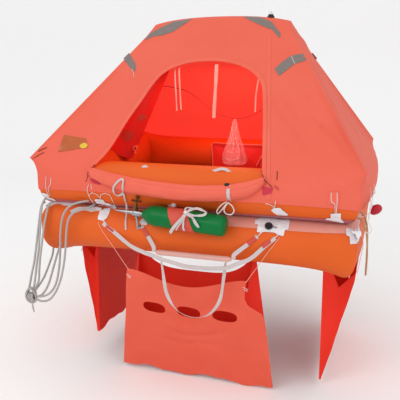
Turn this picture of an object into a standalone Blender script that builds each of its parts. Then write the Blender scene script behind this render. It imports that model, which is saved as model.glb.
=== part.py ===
"""Inflatable life raft for four people, with a canopy over an arch tube.

Metres, +X to the right of the doorway, -Y out of the doorway, +Z up.
The origin is the centre of the plan at the waterline.
"""

import math
from dataclasses import dataclass

import bmesh
import bpy
from mathutils import Vector

# Hull sizes
DRAUGHT = 0.035
TUBE_RADIUS = 0.136
HALF_LENGTH = 0.857
HALF_WIDTH = 0.659
LOWER_TUBE_Z = TUBE_RADIUS - DRAUGHT
UPPER_TUBE_Z = LOWER_TUBE_Z + 2 * TUBE_RADIUS
GAP = 0.0004

# Tube corners swell away from the joint between the tubes and draw in sideways
CORNER_RISE = 0.30
CORNER_DRAW_IN = 0.23
CORNER_SQUARENESS = 0.8
CORNER_FALL_OFF = 0.11
CORNER_STEPS = (0.0, 0.05, 0.12, 0.24, 0.45)

# Angles round a tube in degrees: 0 faces out, -90 faces the other tube
HEM_ANGLE = -12
TANGENT_ANGLE = 40
FLOOR_ANGLES = (115, 140)
UPPER_BAND_ANGLES = (-68, -52, -40)
LOWER_BAND_ANGLES = (-52, -40, -26)
TUBE_ANGLES = (-90, -68, -52, -40, -26, HEM_ANGLE, 8, 24, TANGENT_ANGLE, 65, 90,
               115, 140, 165, 190, 215, 242)
BAND_THICKNESS = 0.003
FLOOR_INNER_SHARE = 0.85
SEAM_LAP = 0.006

# Canopy and arch
FABRIC = 0.006
ARCH_RADIUS = 0.085
ARCH_SHOULDER_X = 0.28
ARCH_SHOULDER_RADIUS = 0.12
ARCH_SHOULDER_DROP = 0.001
ARCH_LEG_SLOPE = 64.7
ARCH_FOOT_Z = 0.46
RIDGE_HALF = 0.455
RIDGE_Z = 1.393
RIDGE_DROP = 0.022
RIDGE_END_DROP = 0.018
RIDGE_ANGLES = (52, 30, 0)
EAR_X = 0.995
EAR_Y = 0.797
EAR_Z = 0.53
EAR_FALL_OFF = 0.09
SIDE_BULGE = {"hem": 0.030, "low": 0.048, "high": 0.056, "eave": 0.056}

# Doorway outline, right and up, seen from the front
DOOR_OUTLINE = ((-0.60, 0.28), (-0.655, 0.47), (-0.60, 0.57), (-0.33, 0.98), (-0.27, 1.05), (-0.13, 1.09),
                (0.04, 1.10), (0.20, 1.08), (0.30, 1.03), (0.35, 0.95), (0.455, 0.47), (0.46, 0.28))

# Rolled door curtain: right, out from the centre, up, half height, half depth
DOOR_ROLL_STATIONS = ((-0.588, 0.792, 0.462, 0.020, 0.016), (-0.56, 0.797, 0.452, 0.036, 0.026),
                      (-0.40, 0.812, 0.417, 0.043, 0.030), (-0.20, 0.818, 0.399, 0.044, 0.031),
                      (0.02, 0.820, 0.392, 0.044, 0.031), (0.22, 0.818, 0.399, 0.044, 0.031),
                      (0.36, 0.811, 0.422, 0.042, 0.030), (0.42, 0.798, 0.447, 0.034, 0.026),
                      (0.448, 0.792, 0.462, 0.020, 0.016))

# Cords that hold the pockets' outer corners
POCKET_CORD = 0.004
CORD_SPREAD = 0.175

# Where such a cord lies on the lower tube: angle, share of its sideways run, slack
CORD_STATIONS = ((-23, 0.0, 0.0), (HEM_ANGLE, 0.08, 0.0020), (0, 0.19, 0.0016), (8, 0.27, 0.0024))

# Gas cylinder, lying in the groove between the tubes
CYLINDER_RADIUS = 0.060
CYLINDER_LEFT = Vector((-0.245, -0.8135, 0.235))
CYLINDER_RIGHT = Vector((0.262, -0.8330, 0.206))
CLOTH_BAND_THICKNESS = 0.003
CLOTH_BAND_START = 0.19
CLOTH_BAND_LENGTH = 0.115
CYLINDER_HEEL_PROFILE = ((0.0, 0.020), (0.006, 0.034), (0.020, 0.050), (0.040, 0.058), (0.060, 0.060))
CYLINDER_END_PROFILE = ((-0.030, 0.060), (-0.010, 0.052), (0.0, 0.036))

# Fittings: distance along the axis and radius
VALVE_HEAD_PROFILE = ((0.0, 0.015), (0.012, 0.015), (0.014, 0.021), (0.062, 0.021), (0.066, 0.015),
                      (0.078, 0.015))
VALVE_HEAD_LENGTH = VALVE_HEAD_PROFILE[-1][0]
VALVE_HEAD_RADIUS = 0.021
PIPE_PLACE = 0.040
PIPE_RADIUS = 0.0065
PIPE_FLANGE_PROFILE = ((0.010, PIPE_RADIUS), (0.008, 0.0105), (0.0, 0.0105))
SLEEVE_PROFILE = ((0.0, 0.012), (0.010, 0.013), (0.085, 0.0065), (0.098, 0.005))
UPPER_VALVE_X = -0.072
UPPER_VALVE_PROFILE = ((0.0, 0.0105), (0.006, 0.0105), (0.007, 0.009), (0.014, 0.009))
LOWER_VALVE_X = 0.487
LOWER_VALVE_PROFILE = ((0.0, 0.013), (0.005, 0.013), (0.006, 0.022), (0.016, 0.022), (0.019, 0.017))

# Boarding ladder, hung from a line across the front of the lower tube
LADDER_HINGE_Y = -0.7870
LADDER_HINGE_Z = 0.150
LADDER_PATCHES = (-0.520, -0.265, 0.430, 0.530)
WEBBING_WIDTH = 0.020
WEBBING_THICKNESS = 0.0025
RUNG_Y = -0.832
RUNG_Z = 0.016
RUNG_LEFT = -0.165
RUNG_RIGHT = 0.295
RUNG_RADIUS = 0.018
STRAP_SAG = 0.028
FOOT_LOOP_INSET = 0.035
FOOT_LOOP_DROPS = ((0.0, 0.0), (0.010, 0.09), (0.034, 0.235), (0.100, 0.330))
FOOT_LOOP_DEPTH = 0.358

# Light on the ridge
BEACON_X = 0.326
BEACON_FOOT_PROFILE = ((0.0, 0.022), (0.008, 0.022), (0.012, 0.018), (0.016, 0.018))
BEACON_DOME_PROFILE = ((0.0, 0.014), (0.012, 0.013), (0.020, 0.008), (0.023, 0.003))

# Rescue float and its lanyard
FLOAT_CENTRE = Vector((1.046, -0.660, 0.318))
FLOAT_DIRECTION = Vector((0.55, -0.20, 0.42)).normalized()
FLOAT_PROFILE = ((0.0, 0.006), (0.008, 0.018), (0.022, 0.025), (0.050, 0.025), (0.064, 0.018), (0.072, 0.006))
LANYARD = 0.004
LANYARD_ROUTE = ((0.9568, -0.6559, 0.2751), (0.968, -0.654, 0.271), (0.985, -0.650, 0.272),
                 (1.003, -0.648, 0.284))

# Pouch on the back tube, bag hung in the middle and the cord across the arch
POUCH_LOW = (-0.205, 0.485, 0.300)
POUCH_HIGH = (0.215, 0.560, 0.490)
BAG_TOP = Vector((0.071, 0.100, 0.7177))
BAG_PROFILE = ((0.0, 0.006), (0.030, 0.014), (0.085, 0.022), (0.170, 0.040), (0.260, 0.070), (0.310, 0.076),
               (0.325, 0.050))
LAMP_CORD = 0.005
LAMP_CORD_ROUTE = ((-0.4382, 0.030, 0.940), (-0.420, 0.062, 0.938), (-0.370, 0.090, 0.928),
                   (-0.300, 0.100, 0.912), (-0.240, 0.100, 0.882), (-0.183, 0.100, 0.844),
                   (-0.135, 0.100, 0.806), (-0.088, 0.100, 0.774), (-0.030, 0.100, 0.744),
                   (0.030, 0.100, 0.727), (0.071, 0.100, 0.7205), (0.120, 0.100, 0.724),
                   (0.180, 0.100, 0.741), (0.233, 0.100, 0.766), (0.300, 0.090, 0.812),
                   (0.370, 0.070, 0.868), (0.420, 0.048, 0.912), (0.4382, 0.030, 0.940))

FLOOR_BOTTOM_Z = LOWER_TUBE_Z + TUBE_RADIUS * math.sin(math.radians(-FLOOR_ANGLES[0]))
FLOOR_TOP_Z = LOWER_TUBE_Z + TUBE_RADIUS * math.sin(math.radians(-FLOOR_ANGLES[1]))


@dataclass(frozen=True)
class Finish:
    """Colour, roughness and metallic value of one material."""

    name: str
    colour: tuple
    roughness: float
    metallic: float = 0.0
    alpha: float = 1.0


TUBE_CLOTH = Finish("orange_tube_cloth", (0.62, 0.16, 0.04), 0.55)
CANOPY_CLOTH = Finish("canopy_cloth", (0.92, 0.16, 0.08), 0.6)
POCKET_CLOTH = Finish("pocket_cloth", (0.88, 0.12, 0.06), 0.65)
PINK_TAPE = Finish("pink_joint_tape", (0.72, 0.36, 0.36), 0.5)
FLOOR_CLOTH = Finish("floor_cloth", (0.08, 0.08, 0.09), 0.7)
GREEN_PAINT = Finish("green_paint", (0.0, 0.22, 0.06), 0.3)
BRIGHT_METAL = Finish("bright_metal", (0.62, 0.62, 0.64), 0.3, 1.0)
BRASS = Finish("brass", (0.72, 0.50, 0.18), 0.35, 1.0)
BLACK_PLASTIC = Finish("black_plastic", (0.02, 0.02, 0.02), 0.45)
WHITE_PLASTIC = Finish("white_plastic", (0.82, 0.82, 0.80), 0.4)
CLEAR_PLASTIC = Finish("clear_plastic", (0.9, 0.9, 0.9), 0.1, 0.0, 0.35)
WHITE_WEBBING = Finish("white_webbing", (0.78, 0.76, 0.74), 0.8)
PINK_PAD = Finish("pink_padding", (0.85, 0.52, 0.46), 0.7)
RED_FOAM = Finish("red_foam", (0.60, 0.02, 0.03), 0.5)
RED_CORD = Finish("red_cord", (0.45, 0.02, 0.02), 0.6)


@dataclass(frozen=True)
class Side:
    """One straight side of the plan, with its outward and along directions."""

    name: str
    outward: Vector
    along: Vector
    half: float
    distance: float

    def stations(self):
        """Places along the side, from one corner to the other."""
        near = [-self.half + step for step in CORNER_STEPS]
        return near + [0.0] + [-place for place in reversed(near)]


FRONT = Side("front", Vector((0, -1, 0)), Vector((1, 0, 0)), HALF_LENGTH, HALF_WIDTH)
RIGHT = Side("right", Vector((1, 0, 0)), Vector((0, 1, 0)), HALF_WIDTH, HALF_LENGTH)
BACK = Side("back", Vector((0, 1, 0)), Vector((-1, 0, 0)), HALF_LENGTH, HALF_WIDTH)
LEFT = Side("left", Vector((-1, 0, 0)), Vector((0, -1, 0)), HALF_WIDTH, HALF_LENGTH)
SIDES = (FRONT, RIGHT, BACK, LEFT)


def clear_scene():
    """Remove whatever the scene holds."""
    for item in list(bpy.data.objects):
        bpy.data.objects.remove(item, do_unlink=True)


def material(finish):
    """The Principled material of a finish, made once."""
    made = bpy.data.materials.get(finish.name)
    if made:
        return made
    made = bpy.data.materials.new(finish.name)
    made.use_nodes = True
    shader = made.node_tree.nodes["Principled BSDF"]
    shader.inputs["Base Color"].default_value = (*finish.colour, 1.0)
    shader.inputs["Roughness"].default_value = finish.roughness
    shader.inputs["Metallic"].default_value = finish.metallic
    shader.inputs["Alpha"].default_value = finish.alpha
    return made


def solid(name, points, faces, finish, sharp_degrees=35):
    """A closed mesh object with its faces pointing out."""
    mesh = bpy.data.meshes.new(name)
    mesh.from_pydata([tuple(point) for point in points], [], faces)
    work = bmesh.new()
    work.from_mesh(mesh)
    bmesh.ops.recalc_face_normals(work, faces=work.faces)
    if work.calc_volume(signed=True) < 0:
        bmesh.ops.reverse_faces(work, faces=work.faces)
    work.to_mesh(mesh)
    work.free()
    mesh.shade_smooth()
    mesh.set_sharp_from_angle(angle=math.radians(sharp_degrees))
    made = bpy.data.objects.new(name, mesh)
    bpy.context.collection.objects.link(made)
    mesh.materials.append(material(finish))
    return made


def loft(name, rings, finish, closed=False, sharp_degrees=35):
    """Join rings of points into a tube, with its ends capped or joined.

    The quads are split the same way as those of sheet_solid, so a skin laid on a loft keeps its gap.
    """
    count = len(rings[0])
    points = [point for ring in rings for point in ring]
    faces = []
    spans = len(rings) if closed else len(rings) - 1
    for i in range(spans):
        here = i * count
        there = (i + 1) % len(rings) * count
        for j in range(count):
            k = (j + 1) % count
            faces.append((here + j, there + j, there + k))
            faces.append((here + j, there + k, here + k))
    if not closed:
        faces.append(tuple(range(count)))
        faces.append(tuple(len(points) - 1 - j for j in range(count)))
    return solid(name, points, faces, finish, sharp_degrees)


def sheet_solid(name, outer, inner, finish, closed=False):
    """A skin between an outer and an inner grid of points, its columns joined in a ring if closed."""
    rows = len(outer)
    columns = len(outer[0])
    points = [point for grid in (outer, inner) for row in grid for point in row]
    second = rows * columns
    faces = []
    for i in range(rows - 1):
        for j in range(columns if closed else columns - 1):
            k = (j + 1) % columns
            low, low_next, high_next, high = (i * columns + j, i * columns + k,
                                              (i + 1) * columns + k, (i + 1) * columns + j)
            for triangle in ((low, low_next, high_next), (low, high_next, high)):
                faces.append(triangle)
                faces.append(tuple(second + corner for corner in reversed(triangle)))
    bottom = list(range(columns))
    top = [(rows - 1) * columns + j for j in range(columns)]
    if closed:
        borders = [bottom, top]
    else:
        right = [i * columns + columns - 1 for i in range(1, rows - 1)]
        left = [i * columns for i in range(rows - 2, 0, -1)]
        borders = [bottom + right + list(reversed(top)) + left]
    for border in borders:
        for k, here in enumerate(border):
            there = border[(k + 1) % len(border)]
            faces.append((there, here, second + here, second + there))
    return solid(name, points, faces, finish)


def cut(target, cutter):
    """Take the cutter's volume out of the target."""
    cutter.hide_render = True
    cutter.display_type = "WIRE"
    modifier = target.modifiers.new("cut_" + cutter.name, "BOOLEAN")
    modifier.operation = "DIFFERENCE"
    modifier.solver = "EXACT"
    modifier.object = cutter


def frame_across(direction):
    """Two unit vectors across a direction."""
    direction = direction.normalized()
    helper = Vector((0, 0, 1)) if abs(direction.z) < 0.9 else Vector((0, 1, 0))
    first = direction.cross(helper).normalized()
    return first, direction.cross(first)


def turned(name, start, direction, profile, finish, sides=16):
    """A solid of revolution: the profile's pairs are distance along and radius."""
    direction = direction.normalized()
    first, second = frame_across(direction)
    rings = []
    for along, radius in profile:
        centre = start + direction * along
        rings.append([centre + (first * math.cos(turn) + second * math.sin(turn)) * radius
                      for turn in (2 * math.pi * k / sides for k in range(sides))])
    return loft(name, rings, finish)


def ribbon(name, path, face, width, thickness, finish):
    """Flat webbing along a path, its flat side turned to the face direction."""
    rings = []
    for i, point in enumerate(path):
        before = path[max(i - 1, 0)]
        after = path[min(i + 1, len(path) - 1)]
        run = (after - before).normalized()
        mitre = run.dot((after - point).normalized()) if after != point else 1.0
        across = run.cross(face).normalized() * width / 2 / mitre
        lift = face.normalized() * thickness / 2
        rings.append([point - across - lift, point + across - lift, point + across + lift,
                      point - across + lift])
    return loft(name, rings, finish)


def smooth_path(points, spacing):
    """Evenly spaced points on a smooth curve through the route's points."""
    dense = []
    padded = [points[0] * 2 - points[1]] + list(points) + [points[-1] * 2 - points[-2]]
    for a, b, c, d in zip(padded, padded[1:], padded[2:], padded[3:]):
        for k in range(16):
            t = k / 16
            dense.append(0.5 * (2 * b + (c - a) * t + (2 * a - 5 * b + 4 * c - d) * t ** 2
                                + (3 * b - a - 3 * c + d) * t ** 3))
    dense.append(points[-1])
    lengths = [0.0]
    for a, b in zip(dense, dense[1:]):
        lengths.append(lengths[-1] + (b - a).length)
    count = max(2, round(lengths[-1] / spacing))
    result = []
    place = 0
    for k in range(count + 1):
        wanted = lengths[-1] * k / count
        while place < len(lengths) - 2 and lengths[place + 1] < wanted:
            place += 1
        share = (wanted - lengths[place]) / (lengths[place + 1] - lengths[place])
        result.append(dense[place].lerp(dense[place + 1], min(share, 1.0)))
    return result


def cord(name, route, diameter, finish, spacing=3.0):
    """A round cord along a smooth curve through its route."""
    path = smooth_path([Vector(point) for point in route], spacing * diameter)
    curve = bpy.data.curves.new(name, "CURVE")
    curve.dimensions = "3D"
    curve.bevel_depth = diameter / 2
    curve.bevel_resolution = 2
    curve.use_fill_caps = True
    spline = curve.splines.new("POLY")
    spline.points.add(len(path) - 1)
    for item, point in zip(spline.points, path):
        item.co = (*point, 1.0)
    made = bpy.data.objects.new(name, curve)
    bpy.context.collection.objects.link(made)
    curve.materials.append(material(finish))
    return made


# Hull

def tube_point(side, along, angle, level, offset=0.0):
    """A point on a tube, level 1 for the upper tube and -1 for the lower."""
    swell = math.exp(-(side.half - abs(along)) / CORNER_FALL_OFF)
    turn = math.radians(angle)
    power = 2 / (2 + CORNER_SQUARENESS * swell)
    reach = math.copysign(abs(math.cos(turn)) ** power, math.cos(turn))
    lift = math.copysign(abs(math.sin(turn)) ** power, math.sin(turn))
    reach *= TUBE_RADIUS * (1 - CORNER_DRAW_IN * swell) + offset
    if lift > 0:
        lift *= TUBE_RADIUS * (1 + CORNER_RISE * swell) + offset
    else:
        lift *= TUBE_RADIUS - GAP / 2 + offset
    centre_z = UPPER_TUBE_Z if level > 0 else LOWER_TUBE_Z
    return (side.along * along * (1 + reach / side.half) + side.outward * (side.distance + reach)
            + Vector((0, 0, centre_z + level * lift)))


def skin_point(side, place, angle, level, offset=0.0):
    """A point over a tube's facets, from its place along the side and its angle round the tube."""
    low = max(step for step in TUBE_ANGLES if step <= angle)
    high = min(step for step in TUBE_ANGLES if step >= angle)
    ends = []
    for row in (low, high):
        line = [tube_point(side, along, row, level, offset) for along in side.stations()]
        for near, far in zip(line, line[1:]):
            start = near.dot(side.along)
            stop = far.dot(side.along)
            if start <= place <= stop:
                ends.append(near.lerp(far, (place - start) / (stop - start)))
                break
    share = (angle - low) / (high - low) if high > low else 0.0
    return ends[0].lerp(ends[1], share)


def around(angles, level, offset=0.0):
    """Rings of points at every station of the four sides, one ring per station."""
    return [[tube_point(side, place, angle, level, offset) for angle in angles]
            for side in SIDES for place in side.stations()[:-1]]


def buoyancy_tube(name, level, offset=0.0):
    """One closed tube round the raft."""
    return loft(name, around(TUBE_ANGLES, level, offset), TUBE_CLOTH, closed=True, sharp_degrees=50)


def joint_band(name, level, angles):
    """Tape round a tube, beside the joint between the tubes."""
    inner = list(zip(*around(angles, level, GAP)))
    outer = list(zip(*around(angles, level, GAP + BAND_THICKNESS)))
    return sheet_solid(name, outer, inner, PINK_TAPE, closed=True)


def raft_floor(name, lowered=0.0):
    """Insulated double floor that fills the lower tube's ring near its bottom."""
    down = Vector((0, 0, -lowered))
    bottom = [ring[0] + down for ring in around(FLOOR_ANGLES[:1], -1, GAP)]
    top = [ring[0] for ring in around(FLOOR_ANGLES[1:], -1, GAP)]

    def drawn_in(ring, height):
        return [Vector((p.x * FLOOR_INNER_SHARE, p.y * FLOOR_INNER_SHARE, height)) for p in ring]

    rings = [drawn_in(bottom, FLOOR_BOTTOM_Z - lowered), bottom, top, drawn_in(top, FLOOR_TOP_Z)]
    return loft(name, rings, FLOOR_CLOTH)


# Arch and canopy

def ridge_height(x):
    """Height of the canopy's outer face on the ridge."""
    share = abs(x) / RIDGE_HALF
    return RIDGE_Z - RIDGE_DROP * share ** 2 - RIDGE_END_DROP * share ** 4


def arch_centre(x):
    """Height of the arch tube's centre under the ridge."""
    return ridge_height(x) - FABRIC - GAP - ARCH_RADIUS


def arch_path():
    """Centreline of the arch, from the left foot over the top to the right foot."""
    seam = RIDGE_HALF * (HALF_LENGTH - CORNER_STEPS[-1]) / HALF_LENGTH
    crown = [Vector((x, 0, arch_centre(x))) for x in (0.0, seam, ARCH_SHOULDER_X)]
    crown[-1].z -= ARCH_SHOULDER_DROP
    bend = []
    for share in (0.33, 0.67, 1.0):
        turn = math.radians(ARCH_LEG_SLOPE * share)
        bend.append(crown[-1] + Vector((math.sin(turn), 0, math.cos(turn) - 1)) * ARCH_SHOULDER_RADIUS)
    drop = bend[-1].z - ARCH_FOOT_Z
    foot = bend[-1] + Vector((drop / math.tan(math.radians(ARCH_LEG_SLOPE)), 0, -drop))
    right = crown + bend + [bend[-1].lerp(foot, 0.5), foot]
    left = [Vector((-p.x, p.y, p.z)) for p in reversed(right[1:])]
    return left + right


def arch_tube():
    """The inflated hoop that carries the canopy."""
    path = arch_path()
    angles = (0, 30, 52, 75, 105, 135, 180, 225, 255, 285, 308, 330)
    rings = []
    for i, point in enumerate(path):
        run = (path[min(i + 1, len(path) - 1)] - path[max(i - 1, 0)]).normalized()
        up = Vector((0, 1, 0)).cross(run) * -1
        rings.append([point + (up * math.cos(math.radians(a)) - Vector((0, 1, 0)) * math.sin(math.radians(a)))
                      * ARCH_RADIUS for a in angles])
    return loft("arch_tube", rings, POCKET_CLOTH, sharp_degrees=60)


def ridge_point(side, share, angle, inset):
    """A point over the arch tube, the angle counted from the top towards the side."""
    x = side.along.x * share * (RIDGE_HALF - inset)
    radius = ARCH_RADIUS + GAP + FABRIC - inset
    turn = math.radians(angle)
    centre = ridge_height(x) - FABRIC - GAP - ARCH_RADIUS
    return Vector((x, side.outward.y * radius * math.sin(turn), centre + radius * math.cos(turn)))


def eave_point(side, along, inset):
    """Edge where the canopy leaves the tube, drawn out to an ear at each corner."""
    tangent = tube_point(side, along, TANGENT_ANGLE, 1, 4 * GAP + FABRIC - inset)
    sign = math.copysign(1, along)
    along_x = abs(side.along.x) > 0.5
    corner_along = EAR_X if along_x else EAR_Y
    corner_out = EAR_Y if along_x else EAR_X
    ear = (side.along * sign * (corner_along - inset) + side.outward * (corner_out - inset)
           + Vector((0, 0, EAR_Z - inset * 0.5)))
    return tangent.lerp(ear, math.exp(-(side.half - abs(along)) / EAR_FALL_OFF))


def side_bulge(side, along, row):
    """How far the fabric of a short side stands off its tube."""
    if side in (FRONT, BACK):
        return Vector((0, 0, 0))
    share = abs(along) / side.half
    return side.outward * SIDE_BULGE[row] * (1 - share ** 3)


def skirt_rows(side, inset):
    """The rows of a panel that hang on the tube, from the hem to the eave."""
    offset = GAP + FABRIC - inset
    angles = {"hem": HEM_ANGLE, "low": 8, "high": 24}
    rows = [[tube_point(side, along, angle, 1, offset) + side_bulge(side, along, row)
             for along in side.stations()] for row, angle in angles.items()]
    rows.append([eave_point(side, along, inset) + side_bulge(side, along, "eave")
                 for along in side.stations()])
    return rows


def shrink_border(grid, amount=0.0002):
    """Draw a panel's seams back so that neighbours don't touch."""
    rows = len(grid)
    columns = len(grid[0])
    moved = [list(row) for row in grid]
    for i in range(rows):
        for j in range(columns):
            step = Vector((0, 0, 0))
            if i == rows - 1:
                step += (grid[i - 1][j] - grid[i][j]).normalized()
            if j == 0:
                step += (grid[i][1] - grid[i][0]).normalized()
            if j == columns - 1:
                step += (grid[i][columns - 2] - grid[i][columns - 1]).normalized()
            moved[i][j] = grid[i][j] + step * amount
    return moved


def long_panel_grid(side, inset):
    """Front or back panel: skirt, slope, and the bend over the arch to the ridge."""
    rows = skirt_rows(side, inset)
    shares = [along / side.half for along in side.stations()]
    top = [ridge_point(side, share, RIDGE_ANGLES[0], inset) for share in shares]
    for step in (1 / 3, 2 / 3):
        rows.append([low.lerp(high, step) for low, high in zip(rows[3], top)])
    rows.append(top)
    for angle in RIDGE_ANGLES[1:]:
        rows.append([ridge_point(side, share, angle, inset) for share in shares])
    return shrink_border(rows)


def short_panel_grid(side, inset):
    """Left or right panel: skirt, and a slope up to the end of the ridge."""
    rows = skirt_rows(side, inset)
    end = math.copysign(1, side.outward.x)
    edge = [ridge_point(FRONT, end, angle, inset) for angle in RIDGE_ANGLES]
    edge += [ridge_point(BACK, -end, angle, inset) for angle in reversed(RIDGE_ANGLES[:-1])]
    if side.along.y < 0:
        edge.reverse()
    places = (0, 2, 5, 8, 10)
    top = []
    for column in range(len(side.stations())):
        span = max(k for k in range(len(places) - 1) if places[k] <= column)
        share = (column - places[span]) / (places[span + 1] - places[span])
        top.append(edge[span].lerp(edge[span + 1], share))
    for step in (1 / 3, 2 / 3):
        rows.append([low.lerp(high, step) for low, high in zip(rows[3], top)])
    rows.append(top)
    return shrink_border(rows)


def canopy():
    """Four fabric panels round the arch, the front one with its doorway."""
    for side in SIDES:
        grid = long_panel_grid if side in (FRONT, BACK) else short_panel_grid
        panel = sheet_solid(f"canopy_{side.name}_panel", grid(side, 0.0), grid(side, FABRIC), CANOPY_CLOTH)
        if side is FRONT:
            outline = [[Vector((x, y, z)) for x, z in DOOR_OUTLINE] for y in (-1.0, -0.12)]
            cut(panel, loft("doorway_cutter", outline, CANOPY_CLOTH))


def door_roll(tube_cutter):
    """The door curtain, rolled down along the front tube."""
    rings = []
    for x, out, z, high, deep in DOOR_ROLL_STATIONS:
        rings.append([Vector((x, -out - deep * math.cos(turn), z + high * math.sin(turn)))
                      for turn in (2 * math.pi * k / 12 for k in range(12))])
    cut(loft("door_roll", rings, CANOPY_CLOTH), tube_cutter)


# Ballast pockets

@dataclass(frozen=True)
class Pocket:
    """A water pocket hung under one side, wide at its mouth and closed in a line below."""

    side: Side
    top_half: float
    bottom_half: float
    outer_reach: float
    inner_reach: float
    bottom_reach: float
    bottom_z: float
    mouth_z: float = -0.128
    sag: float = 0.035
    inner_sag: float = 0.0
    notch_z: float = -0.24
    wall: float = 0.005

    def at(self, along, out, z):
        """A point from its places along the side, out from the centre and up."""
        return self.side.along * along + self.side.outward * out + Vector((0, 0, z))

    def ring(self, share, inset):
        """One level of the pocket, share 0 at its rim and 1 at its bottom."""
        half = self.top_half + (self.bottom_half - self.top_half) * share - inset
        outer = self.outer_reach + (self.bottom_reach + 0.012 - self.outer_reach) * share - inset
        inner = self.inner_reach + (self.bottom_reach - 0.002 - self.inner_reach) * share + inset
        outer = max(outer, inner + 0.0015)
        floor_z = self.bottom_z + inset * 2

        def level(rim_z):
            return rim_z + (floor_z - rim_z) * share

        rim = FLOOR_BOTTOM_Z + SEAM_LAP
        steps = (-1.0, -0.5, 0.0, 0.5, 1.0)
        points = [self.at(half * k, outer, level(self.mouth_z - self.sag * (1 - k * k))) for k in steps]
        points.append(self.at(half, (outer + inner) / 2, level(self.notch_z)))
        points += [self.at(-half * k, inner, level(rim - self.inner_sag * (1 - k ** 4))) for k in steps]
        points.append(self.at(-half, (outer + inner) / 2, level(self.notch_z)))
        return points

    def build(self, floor_cutter):
        """The pocket's shell under the floor, with three filling holes in its outer panel."""
        levels = (0.0, 0.5, 1.0)
        outer = [self.ring(share, 0.0) for share in levels]
        inner = [self.ring(share, self.wall) for share in levels]
        rings = list(reversed(outer)) + inner
        shell = loft(f"{self.side.name}_ballast_pocket", rings, POCKET_CLOTH)
        for number, place in enumerate((-0.6, 0.0, 0.6)):
            centre = self.at(self.top_half * place, self.outer_reach + 0.05, -0.375)
            cut(shell, self.hole_cutter(number, centre))
        cut(shell, floor_cutter)

    def hole_cutter(self, number, centre, half_width=0.062, half_height=0.031):
        """An oval that reaches through the outer panel only."""
        outline = []
        for k in range(12):
            turn = 2 * math.pi * k / 12
            upright = abs(math.cos(turn)) < 0.01
            shift = 0 if upright else math.copysign(half_width - half_height, math.cos(turn))
            outline.append(self.side.along * (half_height * math.cos(turn) + shift)
                           + Vector((0, 0, half_height * math.sin(turn))))
        depth = -0.05 - (self.outer_reach - self.bottom_reach) * 0.36 - 0.03
        rings = [[centre + point + self.side.outward * out for point in outline] for out in (0.02, depth)]
        return loft(f"{self.side.name}_hole_cutter_{number}", rings, POCKET_CLOTH)


POCKETS = (
    Pocket(FRONT, 0.378, 0.505, 0.768, 0.575, 0.590, -0.870, sag=0.100, inner_sag=0.155),
    Pocket(RIGHT, 0.440, 0.455, 0.960, 0.765, 0.775, -0.830),
    Pocket(LEFT, 0.400, 0.420, 0.930, 0.765, 0.775, -0.760),
)


def pocket_cords(pocket):
    """The two cords that hold up the corners of a pocket's outer panel."""
    lift = POCKET_CORD / 2 + GAP
    for end, sign in (("first", -1), ("second", 1)):
        top = sign * (pocket.top_half + CORD_SPREAD)
        low = sign * (pocket.top_half - 0.014)
        route = [skin_point(pocket.side, top + (low - top) * share, angle, -1, lift + slack)
                 for angle, share, slack in CORD_STATIONS]
        route.append(pocket.at(low, pocket.outer_reach + lift, pocket.mouth_z - 0.004))
        cord(f"{pocket.side.name}_pocket_cord_{end}", route, POCKET_CORD, WHITE_WEBBING, spacing=8)


# Gas cylinder and valves

def gas_cylinder():
    """Cylinder, its cloth band, its valve and the fittings that lead to the tubes."""
    axis = (CYLINDER_RIGHT - CYLINDER_LEFT).normalized()
    length = (CYLINDER_RIGHT - CYLINDER_LEFT).length
    profile = list(CYLINDER_HEEL_PROFILE) + [(length + back, radius) for back, radius in CYLINDER_END_PROFILE]
    turned("gas_cylinder", CYLINDER_LEFT, axis, profile, GREEN_PAINT, sides=20)

    start = CYLINDER_LEFT + axis * CLOTH_BAND_START
    stop = start + axis * CLOTH_BAND_LENGTH
    first, second = frame_across(axis)
    rings = []
    for k in range(20):
        turn = 2 * math.pi * k / 20
        out = first * math.cos(turn) + second * math.sin(turn)
        near = (CYLINDER_RADIUS + GAP) / math.cos(math.pi / 20)
        far = near + CLOTH_BAND_THICKNESS
        rings.append([start + out * near, stop + out * near, stop + out * far, start + out * far])
    loft("cylinder_band", rings, POCKET_CLOTH, closed=True)

    neck = CYLINDER_LEFT - axis * GAP
    turned("cylinder_valve_head", neck, -axis, VALVE_HEAD_PROFILE, BRIGHT_METAL)
    sleeve = neck - axis * (VALVE_HEAD_LENGTH + GAP)
    turned("pull_cable_sleeve", sleeve, -axis, SLEEVE_PROFILE, BRIGHT_METAL, sides=12)
    return neck - axis * PIPE_PLACE


def facet_frame(side, along, angles, level, offset):
    """Middle and outward direction of a tube facet between two of its angles."""
    low, high = (tube_point(side, along, angle, level, offset) for angle in angles)
    slope = (high - low).normalized()
    outward = side.along.cross(slope).normalized()
    if outward.dot(side.outward) < 0:
        outward = -outward
    return (low + high) / 2, outward


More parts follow.
